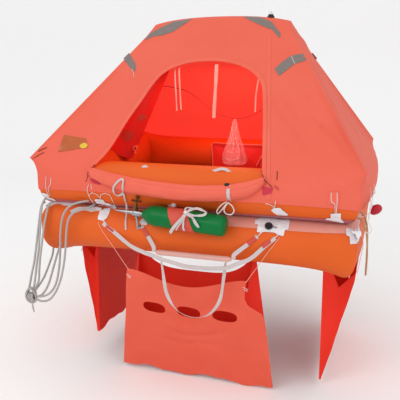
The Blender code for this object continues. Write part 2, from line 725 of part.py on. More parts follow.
def inlet_elbows(valve_centre):
    """Pipes from the valve head to each tube, each ending in a flange on its tube."""
    for name, level, finish in (("upper_inlet_elbow", 1, BRASS), ("lower_inlet_elbow", -1, BRIGHT_METAL)):
        foot, outward = facet_frame(FRONT, valve_centre.x, (-26, HEM_ANGLE), level, GAP)
        up = Vector((0, 0, level))
        start = valve_centre + up * (VALVE_HEAD_RADIUS + GAP)
        bend = start + up * 0.022
        turned_in = foot + outward * 0.016
        path = smooth_path([start, start + up * 0.008, bend, bend.lerp(turned_in, 0.55), turned_in], 0.009)
        rings = []
        for i, point in enumerate(path):
            run = path[min(i + 1, len(path) - 1)] - path[max(i - 1, 0)]
            if i == 0:
                run = up
            if i == len(path) - 1:
                run = -outward
            second = run.normalized().cross(Vector((1, 0, 0))).normalized()
            rings.append([point + (Vector((1, 0, 0)) * math.cos(turn) + second * math.sin(turn)) * PIPE_RADIUS
                          for turn in (2 * math.pi * k / 10 for k in range(10))])
        second = (-outward).cross(Vector((1, 0, 0))).normalized()
        for along, radius in PIPE_FLANGE_PROFILE:
            centre = foot + outward * along
            rings.append([centre + (Vector((1, 0, 0)) * math.cos(turn) + second * math.sin(turn)) * radius
                          for turn in (2 * math.pi * k / 10 for k in range(10))])
        loft(name, rings, finish)


def topping_up_valves():
    """A white valve on the upper tube and a black one on the lower tube's tape."""
    base, outward = facet_frame(FRONT, UPPER_VALVE_X, (-40, -26), 1, 2 * GAP)
    turned("upper_topping_valve", base, outward, UPPER_VALVE_PROFILE, WHITE_PLASTIC)
    base, outward = facet_frame(FRONT, LOWER_VALVE_X, (-52, -40), -1, 2 * GAP + BAND_THICKNESS)
    turned("lower_topping_valve", base, outward, LOWER_VALVE_PROFILE, BLACK_PLASTIC)


# Boarding ladder

def ladder_place(x, z):
    """A point in the slanted plane that the ladder's straps hang in."""
    slope = (RUNG_Y - LADDER_HINGE_Y) / (LADDER_HINGE_Z - RUNG_Z)
    return Vector((x, LADDER_HINGE_Y + slope * (LADDER_HINGE_Z - z), z))


def boarding_ladder():
    """A padded rung on webbing straps, with a foot loop below it."""
    length = RUNG_RIGHT - RUNG_LEFT
    profile = [(0.0, RUNG_RADIUS * 0.85), (0.008, RUNG_RADIUS), (length - 0.008, RUNG_RADIUS),
               (length, RUNG_RADIUS * 0.85)]
    turned("ladder_rung", Vector((RUNG_LEFT, RUNG_Y, RUNG_Z)), Vector((1, 0, 0)), profile, PINK_PAD, sides=12)

    face = Vector((0, RUNG_Z - LADDER_HINGE_Z, LADDER_HINGE_Y - RUNG_Y)).normalized()
    under = RUNG_Z - RUNG_RADIUS - WEBBING_WIDTH / 2 - 2 * GAP
    middle = (RUNG_LEFT + RUNG_RIGHT) / 2
    main = [ladder_place(x, z) for x, z in (
        (LADDER_PATCHES[0], LADDER_HINGE_Z), (-0.400, 0.080), (-0.265, 0.022), (RUNG_LEFT, under),
        (middle - 0.11, under - 0.022), (middle, under - STRAP_SAG), (middle + 0.11, under - 0.022),
        (RUNG_RIGHT, under), (0.375, 0.040), (0.460, 0.095), (LADDER_PATCHES[3], LADDER_HINGE_Z))]
    ribbon("ladder_main_strap", smooth_path(main, 0.055), face, WEBBING_WIDTH, WEBBING_THICKNESS,
           WHITE_WEBBING)

    for name, patch, end, sign in (("left", LADDER_PATCHES[1], RUNG_LEFT, -1),
                                   ("right", LADDER_PATCHES[2], RUNG_RIGHT, 1)):
        beside = end + sign * (WEBBING_WIDTH / 2 + GAP / 2)
        route = [ladder_place(patch, LADDER_HINGE_Z), ladder_place(patch + (beside - patch) * 0.45, 0.100),
                 ladder_place(beside + sign * 0.004, 0.045), ladder_place(beside, RUNG_Z + 0.004)]
        ribbon(f"ladder_inner_strap_{name}", smooth_path(route, 0.04), face, WEBBING_WIDTH, WEBBING_THICKNESS,
               WHITE_WEBBING)

    top = RUNG_Z - RUNG_RADIUS - 4 * GAP
    left = RUNG_LEFT + FOOT_LOOP_INSET
    right = RUNG_RIGHT - FOOT_LOOP_INSET
    route = [Vector((left + x, RUNG_Y, top - z)) for x, z in FOOT_LOOP_DROPS]
    route.append(Vector((middle, RUNG_Y, top - FOOT_LOOP_DEPTH)))
    route += [Vector((right - x, RUNG_Y, top - z)) for x, z in reversed(FOOT_LOOP_DROPS)]
    outward = Vector((0, -1, 0))
    ribbon("ladder_foot_loop", smooth_path(route, 0.045), outward, WEBBING_WIDTH, WEBBING_THICKNESS,
           WHITE_WEBBING)


# Lights, ropes and gear

def beacon_light():
    """The light on the ridge: a dark foot and a clear dome."""
    foot = Vector((BEACON_X, 0, ridge_height(BEACON_X - 0.018) + GAP))
    up = Vector((0, 0, 1))
    turned("beacon_foot", foot, up, BEACON_FOOT_PROFILE, BLACK_PLASTIC, sides=14)
    dome = foot + up * (BEACON_FOOT_PROFILE[-1][0] + GAP)
    turned("beacon_dome", dome, up, BEACON_DOME_PROFILE, CLEAR_PLASTIC, sides=12)


ROPE = 0.012
TAIL = 0.010
KNOT = Vector((-0.990, -0.872, -0.325))
KNOT_SIZE = (0.026, 0.020, 0.030)
ROPE_ROUTES = {
    "mooring_rope_corner": ((-0.9258, -0.7522, 0.2727), (-0.930, -0.778, 0.265), (-0.935, -0.799, 0.244),
                            (-0.938, -0.812, 0.205), (-0.940, -0.822, 0.150), (-0.943, -0.831, 0.080),
                            (-0.946, -0.839, 0.010), (-0.950, -0.846, -0.060), (-0.955, -0.852, -0.130),
                            (-0.961, -0.858, -0.195), (-0.968, -0.864, -0.250), (-0.9777, -0.8695, -0.2970)),
    "mooring_rope_outer": ((-0.6200, -0.7692, 0.2794), (-0.650, -0.790, 0.276), (-0.690, -0.806, 0.266),
                           (-0.735, -0.817, 0.250), (-0.772, -0.825, 0.220), (-0.793, -0.830, 0.172),
                           (-0.800, -0.834, 0.110), (-0.804, -0.837, 0.040), (-0.808, -0.840, -0.040),
                           (-0.815, -0.844, -0.120), (-0.828, -0.849, -0.195), (-0.852, -0.855, -0.262),
                           (-0.890, -0.862, -0.305), (-0.930, -0.868, -0.322), (-0.9633, -0.8717, -0.325)),
    "mooring_rope_inner": ((-0.5985, -0.7335, 0.2501), (-0.612, -0.766, 0.241), (-0.640, -0.800, 0.232),
                           (-0.676, -0.822, 0.221), (-0.708, -0.835, 0.200), (-0.730, -0.842, 0.160),
                           (-0.740, -0.846, 0.100), (-0.745, -0.850, 0.030), (-0.751, -0.853, -0.050),
                           (-0.762, -0.857, -0.130), (-0.782, -0.862, -0.210), (-0.815, -0.868, -0.285),
                           (-0.862, -0.873, -0.335), (-0.915, -0.874, -0.350), (-0.9664, -0.872, -0.3415)),
    "grab_line_right": ((0.9560, -0.6933, 0.2741), (0.978, -0.700, 0.262), (0.996, -0.706, 0.235),
                        (1.008, -0.708, 0.190), (1.015, -0.706, 0.130), (1.018, -0.700, 0.065),
                        (1.018, -0.688, 0.005), (1.017, -0.666, -0.045), (1.016, -0.636, -0.064),
                        (1.015, -0.606, -0.045), (1.015, -0.584, 0.005), (1.014, -0.571, 0.070),
                        (1.012, -0.563, 0.135), (1.006, -0.559, 0.195), (0.994, -0.559, 0.240),
                        (0.980, -0.562, 0.264), (0.9616, -0.5650, 0.2790)),
}


def ropes():
    """Mooring rope stowed in hanging bights, its knot, and a grab line."""
    for name, route in ROPE_ROUTES.items():
        cord(name, route, ROPE, WHITE_WEBBING)
    wide, deep, high = KNOT_SIZE
    rings = []
    for k in range(7):
        turn = math.pi * (k + 0.5) / 7
        rings.append([KNOT + Vector((wide * math.sin(turn) * math.cos(a), deep * math.sin(turn) * math.sin(a),
                                     -high * math.cos(turn)))
                      for a in (2 * math.pi * j / 10 for j in range(10))])
    loft("mooring_rope_knot", rings, WHITE_WEBBING)
    tail = KNOT + Vector((0.002, 0, -KNOT_SIZE[2]))
    cord("mooring_rope_tail", (tail, tail + Vector((0.003, 0, -0.03)), tail + Vector((0.006, 0, -0.075))),
         TAIL, WHITE_WEBBING)


def rescue_float():
    """The red oval float at the right front corner, on its short lanyard."""
    half = FLOAT_PROFILE[-1][0] / 2
    turned("rescue_float", FLOAT_CENTRE - FLOAT_DIRECTION * half, FLOAT_DIRECTION, FLOAT_PROFILE, RED_FOAM,
           sides=12)
    low_end = FLOAT_CENTRE - FLOAT_DIRECTION * (half + GAP)
    cord("float_lanyard", (*LANYARD_ROUTE, tuple(low_end)), LANYARD, WHITE_WEBBING, spacing=6)


def box(name, low, high, finish):
    """A plain block between two corners."""
    rings = [[Vector((x, y, z)) for x, z in ((low[0], low[2]), (high[0], low[2]), (high[0], high[2]),
                                             (low[0], high[2]))] for y in (low[1], high[1])]
    return loft(name, rings, finish)


def gear(tube_cutter):
    """The stowage pouch on the back tube, the clear bag and the cord it hangs on."""
    cut(box("stowage_pouch", POUCH_LOW, POUCH_HIGH, POCKET_CLOTH), tube_cutter)
    turned("clear_gear_bag", BAG_TOP, Vector((0, 0, -1)), BAG_PROFILE, CLEAR_PLASTIC, sides=12)
    cord("lamp_cord", LAMP_CORD_ROUTE, LAMP_CORD, RED_CORD, spacing=8)


def main():
    """Build every piece of the raft."""
    clear_scene()
    buoyancy_tube("upper_buoyancy_tube", 1)
    buoyancy_tube("lower_buoyancy_tube", -1)
    joint_band("upper_joint_band", 1, UPPER_BAND_ANGLES)
    joint_band("lower_joint_band", -1, LOWER_BAND_ANGLES)
    raft_floor("raft_floor")
    floor_cutter = raft_floor("floor_cutter", lowered=GAP)
    tube_cutter = buoyancy_tube("upper_tube_cutter", 1, GAP)
    cut(arch_tube(), tube_cutter)
    canopy()
    door_roll(tube_cutter)
    for pocket in POCKETS:
        pocket.build(floor_cutter)
        pocket_cords(pocket)
    valve_centre = gas_cylinder()
    inlet_elbows(valve_centre)
    topping_up_valves()
    boarding_ladder()
    beacon_light()
    ropes()
    rescue_float()
    gear(tube_cutter)


main()
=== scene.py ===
"""Looks of a four-person inflatable life raft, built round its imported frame.

Metres, +X to the right of the doorway, -Y out of the doorway, +Z up, with the origin at the waterline.
"""

import logging
import math
from dataclasses import dataclass
from enum import Enum
from typing import Callable, Sequence

import bmesh
import bpy
from mathutils import Matrix, Vector, noise
from mathutils.bvhtree import BVHTree
from mathutils.geometry import delaunay_2d_cdt


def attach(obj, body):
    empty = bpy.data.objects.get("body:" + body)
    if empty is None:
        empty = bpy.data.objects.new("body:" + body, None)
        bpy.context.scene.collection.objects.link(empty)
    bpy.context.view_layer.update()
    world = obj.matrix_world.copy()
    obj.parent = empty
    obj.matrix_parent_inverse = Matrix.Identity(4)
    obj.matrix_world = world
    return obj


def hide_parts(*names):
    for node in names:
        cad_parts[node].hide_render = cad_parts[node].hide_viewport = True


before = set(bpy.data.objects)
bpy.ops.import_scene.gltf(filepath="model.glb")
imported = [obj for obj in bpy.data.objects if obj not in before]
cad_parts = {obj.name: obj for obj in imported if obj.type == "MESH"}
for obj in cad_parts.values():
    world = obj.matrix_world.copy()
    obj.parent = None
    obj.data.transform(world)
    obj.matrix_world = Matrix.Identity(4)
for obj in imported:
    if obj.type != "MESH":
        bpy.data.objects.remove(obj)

LOG = logging.getLogger("life_raft")
UP = Vector((0, 0, 1))
FORWARD = Vector((0, -1, 0))

Colour = tuple[float, float, float]
Route = Sequence[Vector]


class Body(Enum):
    """The bodies of the frame."""

    RAFT = "raft"
    LADDER = "ladder"


class Slot(Enum):
    """The material slots of the record."""

    TUBE = "orange_tube_cloth"
    CANOPY = "canopy_cloth"
    POCKET = "pocket_cloth"
    PINK = "pink_joint_tape"
    FLOOR = "floor_cloth"
    GREEN = "green_paint"
    BRIGHT = "bright_metal"
    BRASS = "brass"
    BLACK = "black_plastic"
    WHITE = "white_plastic"
    CLEAR = "clear_plastic"
    WEBBING = "white_webbing"
    PAD = "pink_padding"
    FOAM = "red_foam"
    RED_CORD = "red_cord"


def srgb(red: int, green: int, blue: int) -> Colour:
    """Linear colour of a display colour given from 0 to 255."""
    return tuple((value / 255) ** 2.2 for value in (red, green, blue))


# Finishes


class Graph:
    """A material's node tree under construction."""

    def __init__(self, name: str) -> None:
        """Start a material with one Principled shader."""
        self.material = bpy.data.materials.new(name)
        self.material.use_nodes = True
        self.tree = self.material.node_tree
        self.shader = self.tree.nodes["Principled BSDF"]

    def feed(self, socket: bpy.types.NodeSocket, value: object) -> None:
        """Give a socket a constant, or link another socket to it.

        Args:
            socket: The input to fill.
            value: An output socket, a number, a vector or a colour.
        """
        if isinstance(value, bpy.types.NodeSocket):
            self.tree.links.new(value, socket)
        elif isinstance(value, tuple) and len(value) == 3 and socket.type == "RGBA":
            socket.default_value = (*value, 1.0)
        else:
            socket.default_value = value

    def add(self, kind: str, settings: dict | None = None, **inputs: object) -> bpy.types.Node:
        """Add a node.

        Args:
            kind: The node's type.
            settings: Its properties.
            **inputs: Its inputs, by name with underscores for spaces, or by number after an n.

        Returns:
            The new node.
        """
        node = self.tree.nodes.new(kind)
        for key, value in (settings or {}).items():
            setattr(node, key, value)
        for key, value in inputs.items():
            place = int(key[1:]) if key[0] == "n" and key[1:].isdigit() else key.replace("_", " ")
            self.feed(node.inputs[place], value)
        return node

    def set(self, **inputs: object) -> None:
        """Fill inputs of the Principled shader, named with underscores for spaces."""
        for key, value in inputs.items():
            self.feed(self.shader.inputs[key.replace("_", " ")], value)


@dataclass(frozen=True)
class Finish:
    """A surface with mottled colour and a fine relief, on Object coordinates."""

    name: str
    slot: Slot
    colour: Colour
    shade: Colour
    roughness: float
    metallic: float = 0.0
    coat: float = 0.0
    mottle_scale: float = 5.0
    crumple: float = 0.0
    crumple_scale: float = 22.0
    grain: float = 0.0
    grain_scale: float = 900.0
    alpha: float = 1.0
    glow: float = 0.0
    shine: float = 0.35

    def material(self) -> bpy.types.Material:
        """The material, made once."""
        return bpy.data.materials.get(self.name) or self.build()

    def build(self) -> bpy.types.Material:
        """Make the material's nodes.

        Returns:
            The new material.
        """
        graph = Graph(self.name)
        place = graph.add("ShaderNodeTexCoord").outputs["Object"]
        mottle = graph.add("ShaderNodeTexNoise", Vector=place, Scale=self.mottle_scale, Detail=4.0)
        blend = graph.add("ShaderNodeMix", {"data_type": "RGBA"}, n0=mottle.outputs["Fac"],
                          n6=self.colour, n7=self.shade)
        graph.set(Base_Color=blend.outputs[2], Roughness=self.roughness, Metallic=self.metallic,
                  Coat_Weight=self.coat, Coat_Roughness=0.12, Alpha=self.alpha, Specular_IOR_Level=self.shine)
        # Painted glow: an emission on cloth that is no lamp, standing for light shining through it.
        if self.glow:
            graph.set(Emission_Color=self.colour, Emission_Strength=self.glow)
        normal = self.relief(graph, place)
        if normal:
            graph.set(Normal=normal)
        return graph.material

    def relief(self, graph: Graph, place: bpy.types.NodeSocket) -> bpy.types.NodeSocket | None:
        """Bump of soft crumples and of fine grain.

        Args:
            graph: The tree to add to.
            place: The coordinates that the relief follows.

        Returns:
            The normal's socket, or None for a smooth finish.
        """
        normal = None
        for strength, scale, distance in ((self.crumple, self.crumple_scale, 0.01),
                                          (self.grain, self.grain_scale, 0.0006)):
            if strength:
                height = graph.add("ShaderNodeTexNoise", Vector=place, Scale=scale, Detail=3.0)
                bump = graph.add("ShaderNodeBump", Strength=strength, Distance=distance,
                                 Height=height.outputs["Fac"])
                if normal:
                    graph.feed(bump.inputs["Normal"], normal)
                normal = bump.outputs["Normal"]
        return normal


@dataclass(frozen=True)
class Weave(Finish):
    """Woven webbing or braid, its pattern on the piece's own UV map in metres."""

    rib: float = 0.0022
    strength: float = 0.6
    slant: float = 0.0

    def relief(self, graph: Graph, place: bpy.types.NodeSocket) -> bpy.types.NodeSocket | None:
        """Bump of ribs across the piece, crossed by ribs along it.

        Args:
            graph: The tree to add to.
            place: Not used, because the ribs follow the UV map.

        Returns:
            The normal's socket.
        """
        uv = graph.add("ShaderNodeUVMap", {"uv_map": "weave"}).outputs["UV"]
        normal = None
        for turn in (self.slant, math.pi / 2 + self.slant):
            turned = graph.add("ShaderNodeMapping", Vector=uv, Rotation=(0.0, 0.0, turn))
            wave = graph.add("ShaderNodeTexWave", Vector=turned.outputs["Vector"], Scale=0.314 / self.rib)
            bump = graph.add("ShaderNodeBump", Strength=self.strength, Distance=self.rib * 0.25,
                             Height=wave.outputs["Fac"])
            if normal:
                graph.feed(bump.inputs["Normal"], normal)
            normal = bump.outputs["Normal"]
        return normal


class Finishes:
    """Every finish of the raft."""

    tube = Finish("tube_cloth", Slot.TUBE, srgb(222, 96, 32), srgb(206, 84, 26), 0.55, mottle_scale=3.0,
                  crumple=0.10, crumple_scale=9.0, grain=0.25, shine=0.25)
    canopy = Finish("canopy_fabric", Slot.CANOPY, srgb(222, 102, 84), srgb(216, 92, 72), 0.66, mottle_scale=4.0,
                    crumple=0.22, crumple_scale=7.0, grain=0.3, shine=0.2)
    # Inside face: a redder colour and a painted glow, standing for light shining through the translucent canopy.
    glowing_lining = Finish("canopy_lining_painted_glow", Slot.CANOPY, srgb(240, 78, 64), srgb(230, 62, 50), 0.7, mottle_scale=3.0,
                    crumple=0.3, crumple_scale=9.0, glow=0.45, shine=0.15)
    hem = Finish("canopy_hem", Slot.CANOPY, srgb(228, 108, 90), srgb(218, 94, 74), 0.65, crumple=0.3,
                 crumple_scale=40.0, grain=0.3, shine=0.2)
    # Arch and pouch cloth: deep red with a painted glow, standing for light through the canopy.
    arch = Finish("arch_cloth_painted_glow", Slot.POCKET, srgb(220, 48, 40), srgb(206, 40, 34), 0.5, crumple=0.4,
                  crumple_scale=14.0, glow=0.15, shine=0.3)
    pocket = Finish("pocket_fabric", Slot.POCKET, srgb(226, 98, 78), srgb(216, 84, 62), 0.66, crumple=0.4,
                    crumple_scale=9.0, grain=0.3, shine=0.2)
    # Painted shade: a deeper red with a little painted glow, for the pockets' gussets, raft-facing panels and insides.
    deep = Finish("pocket_fabric_shaded", Slot.POCKET, srgb(226, 52, 36), srgb(208, 42, 30), 0.66, crumple=0.4,
                  crumple_scale=9.0, grain=0.3, glow=0.10, shine=0.2)
    crimson = Finish("crimson_patch", Slot.POCKET, srgb(196, 44, 66), srgb(180, 36, 56), 0.5, crumple=0.3,
                     crumple_scale=40.0)
    dark_slit = Finish("closure_tape", Slot.BLACK, srgb(108, 26, 24), srgb(84, 20, 20), 0.6)
    salmon = Finish("cylinder_wrap", Slot.POCKET, srgb(206, 84, 66), srgb(190, 72, 58), 0.6, crumple=0.5,
                    crumple_scale=60.0, grain=0.3)
    # Upper joint tape: the pink tape painted darker and purple as painted shade, because it faces down.
    shaded_tape_purple = Finish("seam_tape_upper_painted_shade", Slot.PINK, srgb(176, 100, 104), srgb(160, 88, 96), 0.4,
                         crumple=0.3, crumple_scale=30.0)
    pink_band = Finish("seam_tape_lower", Slot.PINK, srgb(220, 146, 130), srgb(206, 132, 118), 0.45,
                       crumple=0.35, crumple_scale=24.0)
    floor = Finish("floor_fabric", Slot.FLOOR, srgb(60, 60, 66), srgb(48, 48, 54), 0.6, crumple=0.4,
                   crumple_scale=16.0, grain=0.3)
    green = Finish("green_enamel", Slot.GREEN, srgb(0, 112, 56), srgb(0, 100, 48), 0.3, coat=0.08, shine=0.12)
    nickel = Finish("nickel", Slot.BRIGHT, srgb(176, 174, 176), srgb(140, 138, 140), 0.26, metallic=1.0)
    brass = Finish("worn_brass", Slot.BRASS, srgb(150, 112, 62), srgb(84, 60, 40), 0.36, metallic=1.0,
                   mottle_scale=60.0)
    bronze = Finish("dark_bronze", Slot.BRASS, srgb(96, 62, 44), srgb(60, 38, 30), 0.4, metallic=1.0,
                    mottle_scale=60.0)
    black = Finish("black_rubber", Slot.BLACK, srgb(30, 28, 30), srgb(20, 18, 20), 0.45, grain=0.2)
    white = Finish("white_valve", Slot.WHITE, srgb(226, 222, 220), srgb(214, 208, 206), 0.4)
    patch = Finish("white_vinyl", Slot.WHITE, srgb(226, 222, 224), srgb(204, 198, 202), 0.45, crumple=0.6,
                   crumple_scale=55.0, mottle_scale=20.0)
    clear = Finish("clear_film", Slot.CLEAR, srgb(255, 205, 200), srgb(250, 190, 185), 0.12, alpha=0.26)
    # Painted highlights: pale lines standing for glints on the clear bag.
    glint = Finish("film_painted_glint", Slot.CLEAR, srgb(255, 235, 232), srgb(255, 225, 222), 0.2, alpha=0.8)
    dome = Finish("clear_dome", Slot.CLEAR, srgb(232, 236, 238), srgb(220, 226, 230), 0.08, alpha=0.45)
    amber = Finish("amber_film", Slot.CLEAR, srgb(180, 86, 26), srgb(164, 74, 22), 0.25, coat=0.4,
                   mottle_scale=30.0)
    amber_cell = Finish("lamp_cell", Slot.CLEAR, srgb(216, 186, 40), srgb(204, 160, 40), 0.25, coat=0.4)
    retro = Finish("reflective_tape", Slot.BRIGHT, srgb(128, 118, 112), srgb(108, 98, 94), 0.5,
                   mottle_scale=60.0, grain=0.4, grain_scale=420.0)
    webbing = Weave("webbing_weave", Slot.WEBBING, srgb(208, 196, 194), srgb(190, 178, 178), 0.8)
    webbing_red = Weave("red_sleeve", Slot.POCKET, srgb(206, 84, 72), srgb(190, 72, 60), 0.7)
    rope = Weave("rope_braid", Slot.WEBBING, srgb(186, 182, 178), srgb(160, 156, 154), 0.75, rib=0.003,
                 strength=0.7, slant=0.7)
    grab = Weave("grab_line_braid", Slot.WEBBING, srgb(200, 152, 114), srgb(176, 132, 100), 0.75, rib=0.003,
                 strength=0.7, slant=0.7)
    thread = Finish("white_cord", Slot.WEBBING, srgb(222, 214, 210), srgb(204, 196, 192), 0.7, grain=0.3)
    peach = Finish("tie_tape", Slot.WEBBING, srgb(238, 170, 152), srgb(230, 152, 134), 0.8)
    pad = Finish("padded_sleeve", Slot.PAD, srgb(214, 164, 154), srgb(202, 150, 140), 0.7, crumple=0.3,
                 crumple_scale=50.0, grain=0.3)
    foam = Finish("float_foam", Slot.FOAM, srgb(178, 26, 46), srgb(160, 20, 38), 0.45, grain=0.4,
                  grain_scale=300.0)
    red_cord = Finish("lamp_cord_red", Slot.RED_CORD, srgb(150, 20, 22), srgb(130, 16, 18), 0.6)
    stitch = Finish("stitch_thread", Slot.CANOPY, srgb(236, 128, 108), srgb(228, 114, 96), 0.7)


# Mesh helpers


def smoothstep(value: float) -> float:
    """Smooth share from 0 to 1 of a value that is clamped to that range."""
    value = min(max(value, 0.0), 1.0)
    return value * value * (3 - 2 * value)


def wrinkle(point: Vector, scale: float, seed: float = 0.0) -> float:
    """Smooth fixed noise from -1 to 1 at a point."""
    return noise.noise(Vector((point.x + seed, point.y - seed, point.z + 2 * seed)) * scale)


def mesh_object(name: str, points: Sequence[Vector], faces: Sequence[Sequence[int]],
                finishes: Sequence[Finish], marks: Sequence[int] | None = None, sharp: float = 40.0,
                uvs: Sequence[tuple[float, float]] | None = None) -> bpy.types.Object:
    """A smooth mesh object with its faces turned out.

    Args:
        name: The piece's name.
        points: Its vertices.
        faces: Its faces, as vertex numbers.
        finishes: The finishes of its material slots.
        marks: The slot number of each face.
        sharp: Edges over this many degrees stay sharp.
        uvs: A UV place for each vertex.

    Returns:
        The new object.
    """
    mesh = bpy.data.meshes.new(name)
    mesh.from_pydata([tuple(point) for point in points], [], [tuple(face) for face in faces])
    for finish in finishes:
        mesh.materials.append(finish.material())
    if marks:
        mesh.polygons.foreach_set("material_index", list(marks))
    if uvs:
        layer = mesh.uv_layers.new(name="weave")
        for loop in mesh.loops:
            layer.data[loop.index].uv = uvs[loop.vertex_index]
    work = bmesh.new()
    work.from_mesh(mesh)
    bmesh.ops.recalc_face_normals(work, faces=work.faces)
    if work.calc_volume(signed=True) < 0:
        bmesh.ops.reverse_faces(work, faces=work.faces)
    work.to_mesh(mesh)
    work.free()
    mesh.shade_smooth()
    mesh.set_sharp_from_angle(angle=math.radians(sharp))
    made = bpy.data.objects.new(name, mesh)
    bpy.context.scene.collection.objects.link(made)
    return made


def loft(name: str, rings: Sequence[Sequence[Vector]], finish: Finish, closed: bool = False,
         sharp: float = 40.0, uvs: Sequence[tuple[float, float]] | None = None) -> bpy.types.Object:
    """Rings of points joined into a tube, with flat caps unless it closes on itself.

    Args:
        name: The piece's name.
        rings: Equal counts of points.
        finish: Its finish.
        closed: Whether the last ring joins the first.
        sharp: Edges over this many degrees stay sharp.
        uvs: A UV place for each vertex.

    Returns:
        The new object.
    """
    count = len(rings[0])
    points = [point for ring in rings for point in ring]
    faces = []
    for i in range(len(rings) if closed else len(rings) - 1):
        here = i * count
        there = (i + 1) % len(rings) * count
        for j in range(count):
            k = (j + 1) % count
            faces.append((here + j, there + j, there + k, here + k))
    if not closed:
        faces.append(tuple(range(count)))
        faces.append(tuple(len(points) - 1 - j for j in range(count)))
    return mesh_object(name, points, faces, [finish], sharp=sharp, uvs=uvs)


def skin(name: str, outer: Sequence[Sequence[Vector]], inner: Sequence[Sequence[Vector]],
         finishes: Sequence[Finish], closed: bool = False, sharp: float = 50.0) -> bpy.types.Object:
    """A sheet between an outer and an inner grid.

    Args:
        name: The piece's name.
        outer: Rows of points of the outer face.
        inner: Rows of points of the inner face.
        finishes: The outer finish, and the inner one if it differs.
        closed: Whether the columns join in a ring.
        sharp: Edges over this many degrees stay sharp.

    Returns:
        The new object.
    """
    rows, columns = len(outer), len(outer[0])
    points = [point for grid in (outer, inner) for row in grid for point in row]
    second = rows * columns
    faces, marks = [], []
    for i in range(rows - 1):
        for j in range(columns if closed else columns - 1):
            k = (j + 1) % columns
            quad = (i * columns + j, i * columns + k, (i + 1) * columns + k, (i + 1) * columns + j)
            faces += [quad, tuple(second + corner for corner in reversed(quad))]
            marks += [0, len(finishes) - 1]
    bottom = list(range(columns))
    top = [(rows - 1) * columns + j for j in range(columns)]
    if closed:
        borders = [bottom, top]
    else:
        right = [i * columns + columns - 1 for i in range(1, rows - 1)]
        left = [i * columns for i in range(rows - 2, 0, -1)]
        borders = [bottom + right + list(reversed(top)) + left]
    for border in borders:
        for k, here in enumerate(border):
            there = border[(k + 1) % len(border)]
            faces.append((there, here, second + here, second + there))
            marks.append(0)
    return mesh_object(name, points, faces, finishes, marks, sharp)


def smooth_path(points: Sequence[Sequence[float]], spacing: float) -> list[Vector]:
    """Evenly spaced points on a smooth curve through the route's points.

    Args:
        points: The route.
        spacing: About how far apart the new points are.

    Returns:
        The new points, the route's ends among them.
    """
    given = [Vector(point) for point in points]
    padded = [given[0] * 2 - given[1]] + given + [given[-1] * 2 - given[-2]]
    dense = []
    for a, b, c, d in zip(padded, padded[1:], padded[2:], padded[3:]):
        for k in range(16):
            t = k / 16
            dense.append(0.5 * (2 * b + (c - a) * t + (2 * a - 5 * b + 4 * c - d) * t ** 2
                                + (3 * b - a - 3 * c + d) * t ** 3))
    dense.append(given[-1])
    return even_path(dense, spacing)


def even_path(dense: Route, spacing: float) -> list[Vector]:
    """Evenly spaced points along straight runs between points."""
    lengths = [0.0]
    for a, b in zip(dense, dense[1:]):
        lengths.append(lengths[-1] + (b - a).length)
    count = max(2, round(lengths[-1] / spacing))
    result, place = [], 0
    for k in range(count + 1):
        wanted = lengths[-1] * k / count
        while place < len(lengths) - 2 and lengths[place + 1] < wanted:
            place += 1
        share = (wanted - lengths[place]) / max(lengths[place + 1] - lengths[place], 1e-9)
        result.append(dense[place].lerp(dense[place + 1], min(share, 1.0)))
    return result


def run_length(path: Route) -> float:
    """Length of a path."""
    return sum((b - a).length for a, b in zip(path, path[1:]))


def directions(path: Route) -> list[Vector]:
    """Unit directions of a path at its points."""
    return [(path[min(i + 1, len(path) - 1)] - path[max(i - 1, 0)]).normalized() for i in range(len(path))]


def carried_frames(path: Route) -> list[tuple[Vector, Vector]]:
    """Two unit vectors across a path at each point, carried along it without twist."""
    runs = directions(path)
    helper = UP if abs(runs[0].z) < 0.9 else Vector((0, 1, 0))
    first = runs[0].cross(helper).normalized()
    frames = []
    for run in runs:
        first = (first - run * first.dot(run)).normalized()
        frames.append((first, run.cross(first)))
    return frames


def revolve(name: str, start: Vector, axis: Vector, profile: Sequence[tuple[float, float]], finish: Finish,
            sides: int = 40, sharp: float = 30.0) -> bpy.types.Object:
    """A turned piece.

    Args:
        name: The piece's name.
        start: Where the profile starts.
        axis: The direction of the axis.
        profile: Pairs of distance along the axis and radius.
        finish: Its finish.
        sides: How many sides it has.
        sharp: Edges over this many degrees stay sharp.

    Returns:
        The new object.
    """
    axis = axis.normalized()
    first, second = carried_frames([start, start + axis])[0]
    rings = [[start + axis * along + (first * math.cos(turn) + second * math.sin(turn)) * radius
              for turn in (2 * math.pi * k / sides for k in range(sides))] for along, radius in profile]
    return loft(name, rings, finish, sharp=sharp)


def strap(name: str, path: Route, faces: Vector | Sequence[Vector], width: float, thickness: float,
          finish: Finish) -> bpy.types.Object:
    """Flat webbing along a path, with rounded edges and a UV map in metres.

    Args:
        name: The piece's name.
        path: Its centreline.
        faces: The direction its flat side looks, one for all or one for each point.
        width: Its width.
        thickness: Its thickness.
        finish: Its finish.

    Returns:
        The new object.
    """
    looks = [faces] * len(path) if isinstance(faces, Vector) else list(faces)
    section = ((-0.5, 0.0), (-0.46, -0.5), (-0.2, -0.5), (0.2, -0.5), (0.46, -0.5), (0.5, 0.0), (0.46, 0.5),
               (0.2, 0.5), (-0.2, 0.5), (-0.46, 0.5))
    rings, uvs, walked = [], [], 0.0
    runs = directions(path)
    for i, (point, run, look) in enumerate(zip(path, runs, looks)):
        walked += (point - path[i - 1]).length if i else 0.0
        across = run.cross(look).normalized()
        lift = across.cross(run).normalized()
        rings.append([point + across * (a * width) + lift * (b * thickness) for a, b in section])
        uvs += [(a * width, walked) for a, _ in section]
    return loft(name, rings, finish, sharp=60.0, uvs=uvs)


